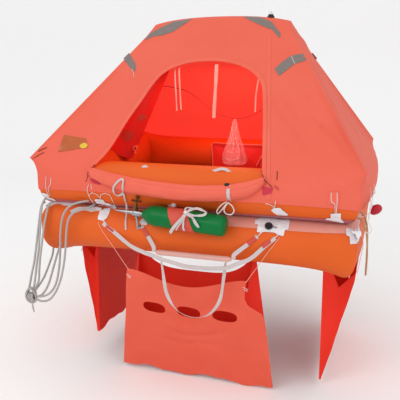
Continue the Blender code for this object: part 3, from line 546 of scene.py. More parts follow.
def laid_rope(name: str, path: Route, diameter: float, finish: Finish, strands: int = 3,
              taper: float = 1.0) -> bpy.types.Object:
    """A laid rope whose strands turn round each other.

    Args:
        name: The piece's name.
        path: Its centreline.
        diameter: Its outer diameter.
        finish: Its finish.
        strands: How many strands it has.
        taper: The size of its last end as a share.

    Returns:
        The new object.
    """
    sides = strands * 5
    rings, uvs, walked = [], [], 0.0
    for i, (point, (first, second)) in enumerate(zip(path, carried_frames(path))):
        walked += (point - path[i - 1]).length if i else 0.0
        phase = 2 * math.pi * walked / (4 * diameter)
        size = diameter / 2 * (1 + (taper - 1) * smoothstep((i / (len(path) - 1) - 0.8) * 5))
        ring = []
        for k in range(sides):
            turn = 2 * math.pi * k / sides
            lobe = 0.84 + 0.16 * abs(math.cos(strands * (turn - phase) / 2))
            ring.append(point + (first * math.cos(turn) + second * math.sin(turn)) * size * lobe)
            uvs.append((turn * diameter / 2, walked))
        rings.append(ring)
    return loft(name, rings, finish, sharp=70.0, uvs=uvs)


# Geometry Nodes


class NodeTool:
    """A Geometry Nodes group that turns a curve into a finished mesh."""

    def __init__(self, name: str, inputs: dict[str, float]) -> None:
        """Start a group.

        Args:
            name: The group's name.
            inputs: Its number inputs with their defaults.
        """
        self.tree = bpy.data.node_groups.new(name, "GeometryNodeTree")
        face = self.tree.interface
        face.new_socket("Geometry", in_out="INPUT", socket_type="NodeSocketGeometry")
        for key, value in inputs.items():
            face.new_socket(key, in_out="INPUT", socket_type="NodeSocketFloat").default_value = value
        face.new_socket("Material", in_out="INPUT", socket_type="NodeSocketMaterial")
        face.new_socket("Geometry", in_out="OUTPUT", socket_type="NodeSocketGeometry")
        self.start = self.tree.nodes.new("NodeGroupInput")
        self.end = self.tree.nodes.new("NodeGroupOutput")
        self.identifiers = {item.name: item.identifier for item in face.items_tree if item.in_out == "INPUT"}

    def add(self, kind: str, links: dict[str, bpy.types.NodeSocket] | None = None,
            values: dict[str, object] | None = None, mode: str = "") -> bpy.types.Node:
        """Add a node.

        Args:
            kind: The node's type.
            links: Sockets to link to its inputs.
            values: Constants of its inputs.
            mode: The node's mode, if it has one.

        Returns:
            The new node.
        """
        node = self.tree.nodes.new(kind)
        if mode:
            node.mode = mode
        for key, socket in (links or {}).items():
            self.tree.links.new(socket, node.inputs[key])
        for key, value in (values or {}).items():
            node.inputs[key].default_value = value
        return node

    def finish(self, geometry: bpy.types.NodeSocket) -> None:
        """Shade the result smooth, give it its material and end the group."""
        smooth = self.add("GeometryNodeSetShadeSmooth", {"Geometry": geometry})
        painted = self.add("GeometryNodeSetMaterial", {"Geometry": smooth.outputs[0],
                                                       "Material": self.start.outputs["Material"]})
        self.tree.links.new(painted.outputs[0], self.end.inputs[0])

    def run(self, name: str, paths: Sequence[Route], finish: Finish, cyclic: bool = False,
            **values: float) -> bpy.types.Object:
        """Run the group on curves through the paths.

        Args:
            name: The new piece's name.
            paths: The centrelines.
            finish: Its finish.
            cyclic: Whether the curves close.
            **values: The group's number inputs.

        Returns:
            The new mesh object.
        """
        curve = bpy.data.curves.new(name + "_path", "CURVE")
        curve.dimensions = "3D"
        for path in paths:
            spline = curve.splines.new("POLY")
            spline.points.add(len(path) - 1)
            spline.use_cyclic_u = cyclic
            for item, point in zip(spline.points, path):
                item.co = (*point, 1.0)
        carrier = bpy.data.objects.new(name + "_path", curve)
        bpy.context.scene.collection.objects.link(carrier)
        modifier = carrier.modifiers.new("nodes", "NODES")
        modifier.node_group = self.tree
        for key, value in values.items():
            modifier[self.identifiers[key]] = value
        modifier[self.identifiers["Material"]] = finish.material()
        graph = bpy.context.evaluated_depsgraph_get()
        shape = bpy.data.meshes.new_from_object(carrier.evaluated_get(graph), depsgraph=graph)
        shape.name = name
        bpy.data.objects.remove(carrier, do_unlink=True)
        made = bpy.data.objects.new(name, shape)
        bpy.context.scene.collection.objects.link(made)
        return made


class CordTool(NodeTool):
    """Round cord along curves."""

    def __init__(self) -> None:
        """Build the group."""
        super().__init__("round_cord", {"Radius": 0.002})
        ring = self.add("GeometryNodeCurvePrimitiveCircle", {"Radius": self.start.outputs["Radius"]},
                        {"Resolution": 8})
        tube = self.add("GeometryNodeCurveToMesh", {"Curve": self.start.outputs["Geometry"],
                                                    "Profile Curve": ring.outputs["Curve"]},
                        {"Fill Caps": True})
        self.finish(tube.outputs["Mesh"])


class StitchTool(NodeTool):
    """A row of stitches along curves."""

    def __init__(self) -> None:
        """Build the group."""
        super().__init__("stitch_row", {"Spacing": 0.009, "Length": 0.005, "Thickness": 0.0012})
        points = self.add("GeometryNodeCurveToPoints", {"Curve": self.start.outputs["Geometry"],
                                                        "Length": self.start.outputs["Spacing"]}, mode="LENGTH")
        size = self.add("ShaderNodeCombineXYZ", {"X": self.start.outputs["Thickness"],
                                                 "Y": self.start.outputs["Thickness"],
                                                 "Z": self.start.outputs["Length"]})
        stitch = self.add("GeometryNodeMeshCube", {"Size": size.outputs[0]})
        placed = self.add("GeometryNodeInstanceOnPoints", {"Points": points.outputs["Points"],
                                                           "Instance": stitch.outputs["Mesh"],
                                                           "Rotation": points.outputs["Rotation"]})
        real = self.add("GeometryNodeRealizeInstances", {"Geometry": placed.outputs["Instances"]})
        self.finish(real.outputs["Geometry"])


# Surfaces that other pieces lie on


class Surface:
    """The outer faces of some pieces, to lay others on."""

    def __init__(self, pieces: Sequence[bpy.types.Object]) -> None:
        """Join the pieces' faces into one tree.

        Args:
            pieces: Mesh objects at the origin.
        """
        points, faces = [], []
        for piece in pieces:
            base = len(points)
            points += [vertex.co.copy() for vertex in piece.data.vertices]
            faces += [[base + corner for corner in face.vertices] for face in piece.data.polygons]
        self.tree = BVHTree.FromPolygons(points, faces)

    def over(self, point: Vector, direction: Vector, lift: float, reach: float = 0.95) -> Vector:
        """The place over the surface that a ray from outside finds.

        Args:
            point: A point near the surface.
            direction: The way that the outside lies.
            lift: How far over the surface the place is.
            reach: How far outside the ray starts.

        Returns:
            The place, or the point itself where there is no surface.
        """
        hit, normal, _, _ = self.tree.ray_cast(point + direction * reach, -direction, reach * 2)
        if hit is None:
            return point.copy()
        if normal.dot(direction) < 0:
            normal = -normal
        return hit + (normal * 0.5 + direction * 0.5).normalized() * lift

    def front(self, places: Sequence[tuple[float, float]], lift: float) -> list[Vector]:
        """Points over the front of the surface, from pairs of right and up."""
        return [self.over(Vector((x, -0.8, z)), FORWARD, lift) for x, z in places]


def drape(name: str, outline: Sequence[Vector], surface: Surface, finish: Finish, lift: float = 0.001,
          thickness: float = 0.0012, spacing: float = 0.010, crumple: float = 0.0,
          direction: Vector | None = None) -> bpy.types.Object:
    """A cut sheet laid on a surface.

    Args:
        name: The piece's name.
        outline: Its corners, near the surface.
        surface: What it lies on.
        finish: Its finish.
        lift: How far its underside stands off the surface.
        thickness: Its thickness.
        spacing: How fine its mesh is.
        crumple: How far its faces swell and dip.
        direction: The way that the outside lies, or None for the outline's own normal.

    Returns:
        The new object.
    """
    centre = sum(outline, Vector()) / len(outline)
    normal = Vector()
    for a, b in zip(outline, [*outline[1:], outline[0]]):
        normal += (a - centre).cross(b - centre)
    normal.normalize()
    wanted = direction or Vector((centre.x, centre.y, max(centre.z, 0.0)))
    if normal.dot(wanted) < 0:
        normal = -normal
    cast = direction or normal
    first = (outline[1] - outline[0]).cross(normal).normalized()
    second = normal.cross(first)
    border = even_path([*outline, outline[0]], spacing)[:-1]
    flat = [Vector(((p - centre).dot(first), (p - centre).dot(second))) for p in border]
    low = [min(p[k] for p in flat) for k in (0, 1)]
    high = [max(p[k] for p in flat) for k in (0, 1)]
    inside = []
    for i in range(1, int((high[0] - low[0]) / spacing) + 1):
        for j in range(1, int((high[1] - low[1]) / spacing) + 1):
            spot = Vector((low[0] + i * spacing, low[1] + j * spacing * (1.0 if i % 2 else 0.97)))
            if min((spot - p).length for p in flat) > spacing * 0.45:
                inside.append(spot)
    edges = [(k, (k + 1) % len(flat)) for k in range(len(flat))]
    spots, _, faces, _, _, _ = delaunay_2d_cdt(flat + inside, edges, [], 1, 1e-6)
    tops, bottoms = [], []
    for spot in spots:
        point = centre + first * spot.x + second * spot.y
        base = surface.over(point, cast, lift)
        swell = crumple * (0.6 + wrinkle(base, 45.0) + 0.5 * wrinkle(base, 110.0))
        bottoms.append(base + cast * max(swell - crumple * 0.2, 0.0))
        tops.append(bottoms[-1] + cast * thickness)
    count = len(spots)
    solid = [tuple(face) for face in faces] + [tuple(count + k for k in reversed(face)) for face in faces]
    used: dict[tuple[int, int], int] = {}
    for face in faces:
        for a, b in zip(face, [*face[1:], face[0]]):
            used[(a, b)] = used.get((a, b), 0) + 1
    solid += [(b, a, count + a, count + b) for a, b in used if (b, a) not in used]
    return mesh_object(name, tops + bottoms, solid, [finish], sharp=50.0)


def carve(target: bpy.types.Object, cutters: Sequence[bpy.types.Object]) -> None:
    """Cut the cutters out of the target for good, and remove them.

    Args:
        target: The mesh to cut.
        cutters: What to take out of it.
    """
    for cutter in cutters:
        modifier = target.modifiers.new("cut", "BOOLEAN")
        modifier.operation = "DIFFERENCE"
        modifier.solver = "EXACT"
        modifier.object = cutter
    graph = bpy.context.evaluated_depsgraph_get()
    cut = bpy.data.meshes.new_from_object(target.evaluated_get(graph), depsgraph=graph)
    target.modifiers.clear()
    target.data = cut
    for cutter in cutters:
        bpy.data.objects.remove(cutter, do_unlink=True)
    cut.shade_smooth()
    cut.set_sharp_from_angle(angle=math.radians(50))


class Assembly:
    """A group of pieces that ride on the frame."""

    def __init__(self, cords: CordTool, stitches: StitchTool) -> None:
        """Keep the tools that the pieces are made with."""
        self.cords = cords
        self.stitches = stitches

    def show(self, piece: bpy.types.Object, slot: Slot, *nodes: str, body: Body = Body.RAFT) -> bpy.types.Object:
        """Attach a piece to the frame.

        Args:
            piece: The finished piece.
            slot: The record's slot of its finish; not used.
            *nodes: The frame's nodes that it stands for.
            body: The body it rides on.

        Returns:
            The piece.
        """
        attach(piece, body.value)
        if nodes:
            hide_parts(*nodes)
        LOG.info("%s: %d faces", piece.name, len(piece.data.polygons))
        return piece

    def tie(self, name: str, routes: Sequence[Route], diameter: float = 0.0035,
            finish: Finish = Finishes.thread, body: Body = Body.RAFT) -> bpy.types.Object:
        """Short cords as one piece.

        Args:
            name: The piece's name.
            routes: The cords' routes.
            diameter: Their diameter.
            finish: Their finish.
            body: The body they ride on.

        Returns:
            The piece.
        """
        paths = [smooth_path(route, 0.004) for route in routes]
        piece = self.cords.run(name, paths, finish, Radius=diameter / 2)
        return self.show(piece, finish.slot, body=body)


# Hull


@dataclass(frozen=True)
class Side:
    """One straight side of the plan, with its outward and along directions."""

    outward: Vector
    along: Vector
    half: float
    distance: float


@dataclass(frozen=True)
class HullSize:
    """Sizes of the two buoyancy tubes and of the floor between them."""

    radius: float = 0.136
    half_length: float = 0.857
    half_width: float = 0.659
    lower_z: float = 0.101
    upper_z: float = 0.373
    gap: float = 0.0004
    rise: float = 0.30
    draw_in: float = 0.23
    squareness: float = 0.8
    fall_off: float = 0.11
    band_inner: tuple[float, float] = (-78.0, -84.0)
    floor_low: float = -0.0223
    floor_high: float = 0.0136
    stations: int = 56
    sides: int = 52

    def plan(self) -> tuple[Side, Side, Side, Side]:
        """The four sides: front, right, back and left."""
        front = Side(Vector((0, -1, 0)), Vector((1, 0, 0)), self.half_length, self.half_width)
        right = Side(Vector((1, 0, 0)), Vector((0, 1, 0)), self.half_width, self.half_length)
        back = Side(Vector((0, 1, 0)), Vector((-1, 0, 0)), self.half_length, self.half_width)
        left = Side(Vector((-1, 0, 0)), Vector((0, -1, 0)), self.half_width, self.half_length)
        return front, right, back, left

    def point(self, side: Side, along: float, angle: float, level: int, offset: float = 0.0) -> Vector:
        """A point on a tube.

        Args:
            side: The side it lies on.
            along: Its place along the side.
            angle: Its angle round the tube, 0 outwards and -90 to the other tube.
            level: 1 for the upper tube and -1 for the lower.
            offset: How far it stands off the tube.

        Returns:
            The point.
        """
        swell = math.exp(-(side.half - abs(along)) / self.fall_off)
        turn = math.radians(angle)
        power = 2 / (2 + self.squareness * swell)
        reach = math.copysign(abs(math.cos(turn)) ** power, math.cos(turn))
        lift = math.copysign(abs(math.sin(turn)) ** power, math.sin(turn))
        reach *= self.radius * (1 - self.draw_in * swell) + offset
        if lift > 0:
            lift *= self.radius * (1 + self.rise * swell) + offset
        else:
            lift *= self.radius - self.gap / 2 + offset
        centre = self.upper_z if level > 0 else self.lower_z
        return (side.along * along * (1 + reach / side.half) + side.outward * (side.distance + reach)
                + UP * (centre + level * lift))

    def at_real(self, side: Side, wanted: float, angle: float, level: int, offset: float = 0.0) -> Vector:
        """The point of a tube that lies at a true distance along the side.

        Args:
            side: The side it lies on.
            wanted: Its true distance along the side.
            angle: Its angle round the tube.
            level: 1 for the upper tube and -1 for the lower.
            offset: How far it stands off the tube.

        Returns:
            The point.
        """
        along = wanted
        for _ in range(8):
            along += wanted - self.point(side, along, angle, level, offset).dot(side.along)
        return self.point(side, along, angle, level, offset)

    def band_edge(self, side: Side, place: float, level: int) -> float:
        """The angle where a tape ends, away from the joint.

        Args:
            side: The side.
            place: Its place along the side.
            level: 1 for the upper tube's tape and -1 for the lower's.

        Returns:
            The angle round the tube.
        """
        if level > 0:
            return -57.0 + 15.0 * (place / side.half) ** 2 if side.outward.y < -0.5 else -42.0
        if side.outward.y < -0.5:
            return -70.0 + 30.0 * smoothstep((place + 0.25) / 0.05)
        if side.outward.x < -0.5:
            return -40.0 - 30.0 * smoothstep((place - 0.2) / 0.3)
        return -40.0

    def places(self, side: Side, count: int) -> list[float]:
        """Places along a side, closer together at its corners."""
        spread = [2 * k / count - 1 for k in range(count + 1)]
        return [side.half * (0.5 * u + 0.5 * math.sin(u * math.pi / 2)) for u in spread]


HULL = HullSize()
FRONT, RIGHT, BACK, LEFT = HULL.plan()


class Hull(Assembly):
    """The tubes, the tape on their joint and the floor."""

    def build(self) -> list[bpy.types.Object]:
        """Make the pieces.

        Returns:
            The two tubes and the two tapes.
        """
        # The upper tape carries painted shade; the lower tape is the paler pink.
        shells = [self.tube(1), self.tube(-1), self.band("upper", 1, Finishes.shaded_tape_purple),
                  self.band("lower", -1, Finishes.pink_band)]
        self.floor()
        return shells

    def tube(self, level: int) -> bpy.types.Object:
        """One tube, with soft creases where it turns a corner.

        Args:
            level: 1 for the upper tube and -1 for the lower.

        Returns:
            The piece.
        """
        name = "upper_buoyancy_tube" if level > 0 else "lower_buoyancy_tube"
        rings = []
        for side in (FRONT, RIGHT, BACK, LEFT):
            for place in HULL.places(side, HULL.stations)[:-1]:
                ring = []
                for k in range(HULL.sides):
                    angle = 360 * k / HULL.sides
                    point = HULL.point(side, place, angle if angle <= 270 else angle - 360, level)
                    near = math.exp(-(side.half - abs(place)) / 0.07)
                    dent = 0.004 * near * wrinkle(point, 26.0, level) + 0.0015 * wrinkle(point, 7.0, level)
                    ring.append(point + side.outward * min(dent, 0.002) * math.cos(math.radians(angle)))
                rings.append(ring)
        return self.show(loft(name, rings, Finishes.tube, closed=True, sharp=60.0), Slot.TUBE, name)

    def band(self, name: str, level: int, finish: Finish) -> bpy.types.Object:
        """A band of tape round a tube.

        Args:
            name: Which band it is.
            level: The level of its tube.
            finish: Its finish.

        Returns:
            The piece.
        """
        inner = HULL.band_inner[0 if level > 0 else 1]
        grids = []
        for offset in (0.0032, 0.0012):
            grid = []
            for k in range(9):
                row = []
                for side in (FRONT, RIGHT, BACK, LEFT):
                    for place in HULL.places(side, 90)[:-1]:
                        angle = inner + (HULL.band_edge(side, place, level) - inner) * k / 8
                        swell = 0.0009 * wrinkle(Vector((place * 9, angle / 9, side.outward.x)), 3.0)
                        row.append(HULL.point(side, place, angle, level, offset + swell))
                grid.append(row)
            grids.append(grid)
        node = f"{name}_joint_band"
        return self.show(skin(node + "_tape", grids[0], grids[1], [finish], closed=True), Slot.PINK, node)

    def floor(self) -> None:
        """The insulated double floor, held down in tufts."""
        columns, rows = 64, 48
        top, bottom = [], []
        for j in range(rows + 1):
            lines = ([], [])
            for i in range(columns + 1):
                u, v = 2 * i / columns - 1, 2 * j / rows - 1
                edge = (1 - u ** 8) * (1 - v ** 8)
                tuft = abs(math.sin(math.pi * (u + 1) * 3)) * abs(math.sin(math.pi * (v + 1) * 2))
                lines[0].append(Vector((u * 0.765, v * 0.567, HULL.floor_high - 0.012 + 0.012 * edge * tuft ** 0.5)))
                lines[1].append(Vector((u * 0.785, v * 0.587, HULL.floor_low + 0.006 - 0.006 * edge * tuft ** 0.5)))
            top.append(lines[0])
            bottom.append(lines[1])
        self.show(skin("insulated_floor", top, bottom, [Finishes.floor]), Slot.FLOOR, "raft_floor")


# Canopy


@dataclass(frozen=True)
class Fold:
    """A soft fold in a panel, between two places across and up."""

    start: tuple[float, float]
    end: tuple[float, float]
    width: float
    height: float

    def at(self, x: float, z: float) -> float:
        """The fold's height at a place."""
        run = Vector(self.end) - Vector(self.start)
        along = (Vector((x, z)) - Vector(self.start)).dot(run) / run.length_squared
        if not -0.3 < along < 1.3:
            return 0.0
        away = (Vector((x, z)) - Vector(self.start) - run * along).length
        return self.height * math.exp(-(away / self.width) ** 2) * smoothstep((along + 0.3) * 3) * smoothstep(
            (1.3 - along) * 3)


@dataclass(frozen=True)
class CanopySize:
    """Sizes of the canopy over its arch."""

    arch_radius: float = 0.085
    fabric: float = 0.006
    thickness: float = 0.0022
    ridge_half: float = 0.455
    ridge_z: float = 1.393
    ridge_drop: float = 0.022
    ridge_end_drop: float = 0.018
    ridge_angle: float = 52.0
    hem_angle: float = -12.0
    eave_angle: float = 40.0
    ear: tuple[float, float, float] = (0.995, 0.797, 0.53)
    ear_fall_off: float = 0.09
    bulge_angles: tuple[float, ...] = (-12.0, 8.0, 24.0, 40.0)
    bulges: tuple[float, ...] = (0.030, 0.048, 0.056, 0.056)
    long_columns: int = 120
    arch_rows: int = 20
    skirt_rows: int = 12
    slope_rows: int = 52
    sag: float = 0.007


DOOR_EDGE = ((-0.590, 0.478), (-0.560, 0.515), (-0.532, 0.553), (-0.507, 0.596), (-0.482, 0.659), (-0.456, 0.728),
             (-0.424, 0.798), (-0.390, 0.866), (-0.356, 0.941), (-0.312, 1.010), (-0.256, 1.054), (-0.194, 1.079),
             (-0.131, 1.094), (-0.067, 1.101), (0.030, 1.103), (0.116, 1.094), (0.197, 1.074), (0.265, 1.044),
             (0.322, 0.999), (0.355, 0.945), (0.382, 0.824), (0.406, 0.690), (0.430, 0.540), (0.446, 0.460))
DOOR_SILL = ((0.440, 0.440), (0.330, 0.418), (0.150, 0.398), (-0.050, 0.393), (-0.250, 0.400), (-0.450, 0.424),
             (-0.575, 0.452))

FRONT_FOLDS = (
    Fold((0.423, 0.883), (0.650, 0.638), 0.013, -0.009),
    Fold((0.455, 0.900), (0.680, 0.655), 0.018, 0.010),
    Fold((0.503, 0.666), (0.610, 0.624), 0.012, -0.008),
    Fold((0.503, 0.690), (0.640, 0.645), 0.012, 0.005),
    Fold((0.478, 0.980), (0.751, 0.790), 0.030, 0.008),
    Fold((0.700, 0.840), (0.980, 0.574), 0.040, -0.012),
    Fold((0.660, 0.760), (0.905, 0.560), 0.030, 0.010),
    Fold((0.460, 0.760), (0.560, 0.560), 0.020, 0.004),
    Fold((0.640, 0.470), (0.900, 0.440), 0.018, 0.003),
    Fold((-0.470, 1.050), (-0.880, 0.620), 0.040, 0.007),
    Fold((-0.620, 0.640), (-0.860, 0.470), 0.022, 0.004),
    Fold((-0.740, 0.560), (-0.690, 0.420), 0.014, 0.004),
    Fold((-0.300, 1.180), (0.250, 1.190), 0.030, 0.003),
    Fold((-0.120, 1.110), (-0.200, 1.260), 0.016, 0.003),
    Fold((0.240, 1.090), (0.330, 1.260), 0.016, 0.003),
)
SIDE_FOLDS = (
    Fold((0.030, 1.180), (0.450, 0.600), 0.030, 0.009),
    Fold((-0.030, 1.180), (-0.420, 0.620), 0.030, 0.008),
    Fold((0.000, 1.050), (0.060, 0.600), 0.025, 0.006),
    Fold((0.300, 0.560), (0.560, 0.470), 0.020, 0.005),
    Fold((-0.300, 0.560), (-0.540, 0.480), 0.020, 0.005),
)
BACK_FOLDS = (
    Fold((0.300, 1.180), (0.800, 0.600), 0.035, 0.008),
    Fold((-0.320, 1.150), (-0.780, 0.620), 0.035, 0.008),
    Fold((0.100, 1.100), (0.350, 0.620), 0.022, 0.005),
    Fold((-0.060, 1.080), (-0.250, 0.600), 0.024, 0.005),
    Fold((0.500, 0.560), (0.750, 0.460), 0.018, 0.004),
)


class CanopyShape:
    """The canopy's continuous sheet as points."""

    def __init__(self, size: CanopySize) -> None:
        """Keep the sizes."""
        self.size = size

    def ridge_height(self, x: float) -> float:
        """Height of the outer face on the ridge."""
        share = abs(x) / self.size.ridge_half
        return self.size.ridge_z - self.size.ridge_drop * share ** 2 - self.size.ridge_end_drop * share ** 4

    def arch_centre(self, x: float) -> float:
        """Height of the arch tube's centre."""
        return self.ridge_height(x) - self.size.fabric - HULL.gap - self.size.arch_radius

    def ridge_point(self, x: float, out: float, angle: float) -> Vector:
        """A point over the arch, its angle counted from the top towards out, which is 1 or -1 along Y."""
        radius = self.size.arch_radius + HULL.gap + self.size.fabric
        turn = math.radians(angle)
        return Vector((x, out * radius * math.sin(turn), self.arch_centre(x) + radius * math.cos(turn)))

    def skirt_point(self, side: Side, along: float, angle: float) -> Vector:
        """A point of the part that hangs on the tube.

        Args:
            side: The side it lies on.
            along: Its place along the side.
            angle: Its angle round the tube.

        Returns:
            The point.
        """
        size = self.size
        offset = HULL.gap + size.fabric * 0.75
        point = HULL.point(side, along, angle, 1, offset)
        corner = (size.ear[0], size.ear[1]) if abs(side.along.x) > 0.5 else (size.ear[1], size.ear[0])
        ear = side.along * math.copysign(corner[0], along) + side.outward * corner[1] + UP * size.ear[2]
        pull = math.exp(-(side.half - abs(along)) / size.ear_fall_off)
        rise = smoothstep((angle - 8) / (size.eave_angle - 8))
        point = point.lerp(ear, pull * rise)
        if abs(side.outward.x) > 0.5:
            steps = size.bulge_angles
            k = max(i for i in range(len(steps) - 1) if steps[i] <= angle + 1e-6)
            share = (angle - steps[k]) / (steps[k + 1] - steps[k])
            bulge = size.bulges[k] + (size.bulges[k + 1] - size.bulges[k]) * share
            point += side.outward * bulge * (1 - (abs(along) / side.half) ** 3)
        return point

    def folds(self, side: Side, point: Vector) -> float:
        """How far folds lift the cloth at a point."""
        if side is FRONT:
            return sum(fold.at(point.x, point.z) for fold in FRONT_FOLDS)
        if side is BACK:
            return sum(fold.at(point.x, point.z) for fold in BACK_FOLDS)
        return sum(fold.at(point.y * side.outward.x, point.z) for fold in SIDE_FOLDS)

    def panel(self, side: Side) -> list[list[Vector]]:
        """One side's rows, from its hem to the ridge or to the arch's end.

        Args:
            side: The side.

        Returns:
            The rows of points.
        """
        size = self.size
        long = abs(side.along.x) > 0.5
        columns = size.long_columns if long else 2 * size.arch_rows
        places = HULL.places(side, columns)
        rows = []
        for k in range(size.skirt_rows + 1):
            angle = size.hem_angle + (size.eave_angle - size.hem_angle) * k / size.skirt_rows
            rows.append([self.skirt_point(side, place, angle) for place in places])
        if long:
            top = [self.ridge_point(side.along.x * p / side.half * size.ridge_half, side.outward.y,
                                    size.ridge_angle) for p in places]
        else:
            top = [self.ridge_point(side.outward.x * size.ridge_half, side.along.y,
                                    size.ridge_angle * (k / size.arch_rows - 1)) for k in range(columns + 1)]
        eave = rows[-1]
        for k in range(1, size.slope_rows):
            t = k / size.slope_rows
            rows.append([low.lerp(high, t) for low, high in zip(eave, top)])
        rows.append(top)
        if long:
            for k in range(1, size.arch_rows + 1):
                angle = size.ridge_angle * (1 - k / size.arch_rows)
                rows.append([self.ridge_point(side.along.x * p / side.half * size.ridge_half, side.outward.y,
                                              angle) for p in places])
        return self.shaped(side, rows, places)

    def shaped(self, side: Side, rows: list[list[Vector]], places: Sequence[float]) -> list[list[Vector]]:
        """Add the sag, folds and small wrinkles, which fade out at the seams.

        Args:
            side: The side.
            rows: Its rows of points.
            places: The places of its columns.

        Returns:
            The changed rows.
        """
        size = self.size
        lean = (side.outward + UP * 0.7).normalized()
        for i, row in enumerate(rows):
            rise = (i - size.skirt_rows) / size.slope_rows
            slope = 4 * rise * (1 - rise) if 0 < rise < 1 else 0.0
            for j, point in enumerate(row):
                inner = smoothstep((side.half - abs(places[j])) / 0.05)
                way = lean if rise > 0 else side.outward
                lift = -size.sag * slope * inner
                if rise < 1:
                    lift += self.folds(side, point) * inner
                    lift += 0.0022 * wrinkle(point, 7.0) * inner + 0.0008 * wrinkle(point, 24.0) * inner
                if i < 3:
                    lift += 0.0025 * (1 - i / 3) * (1 + wrinkle(point, 11.0, 3.0)) * inner
                row[j] = point + way * lift
        return rows


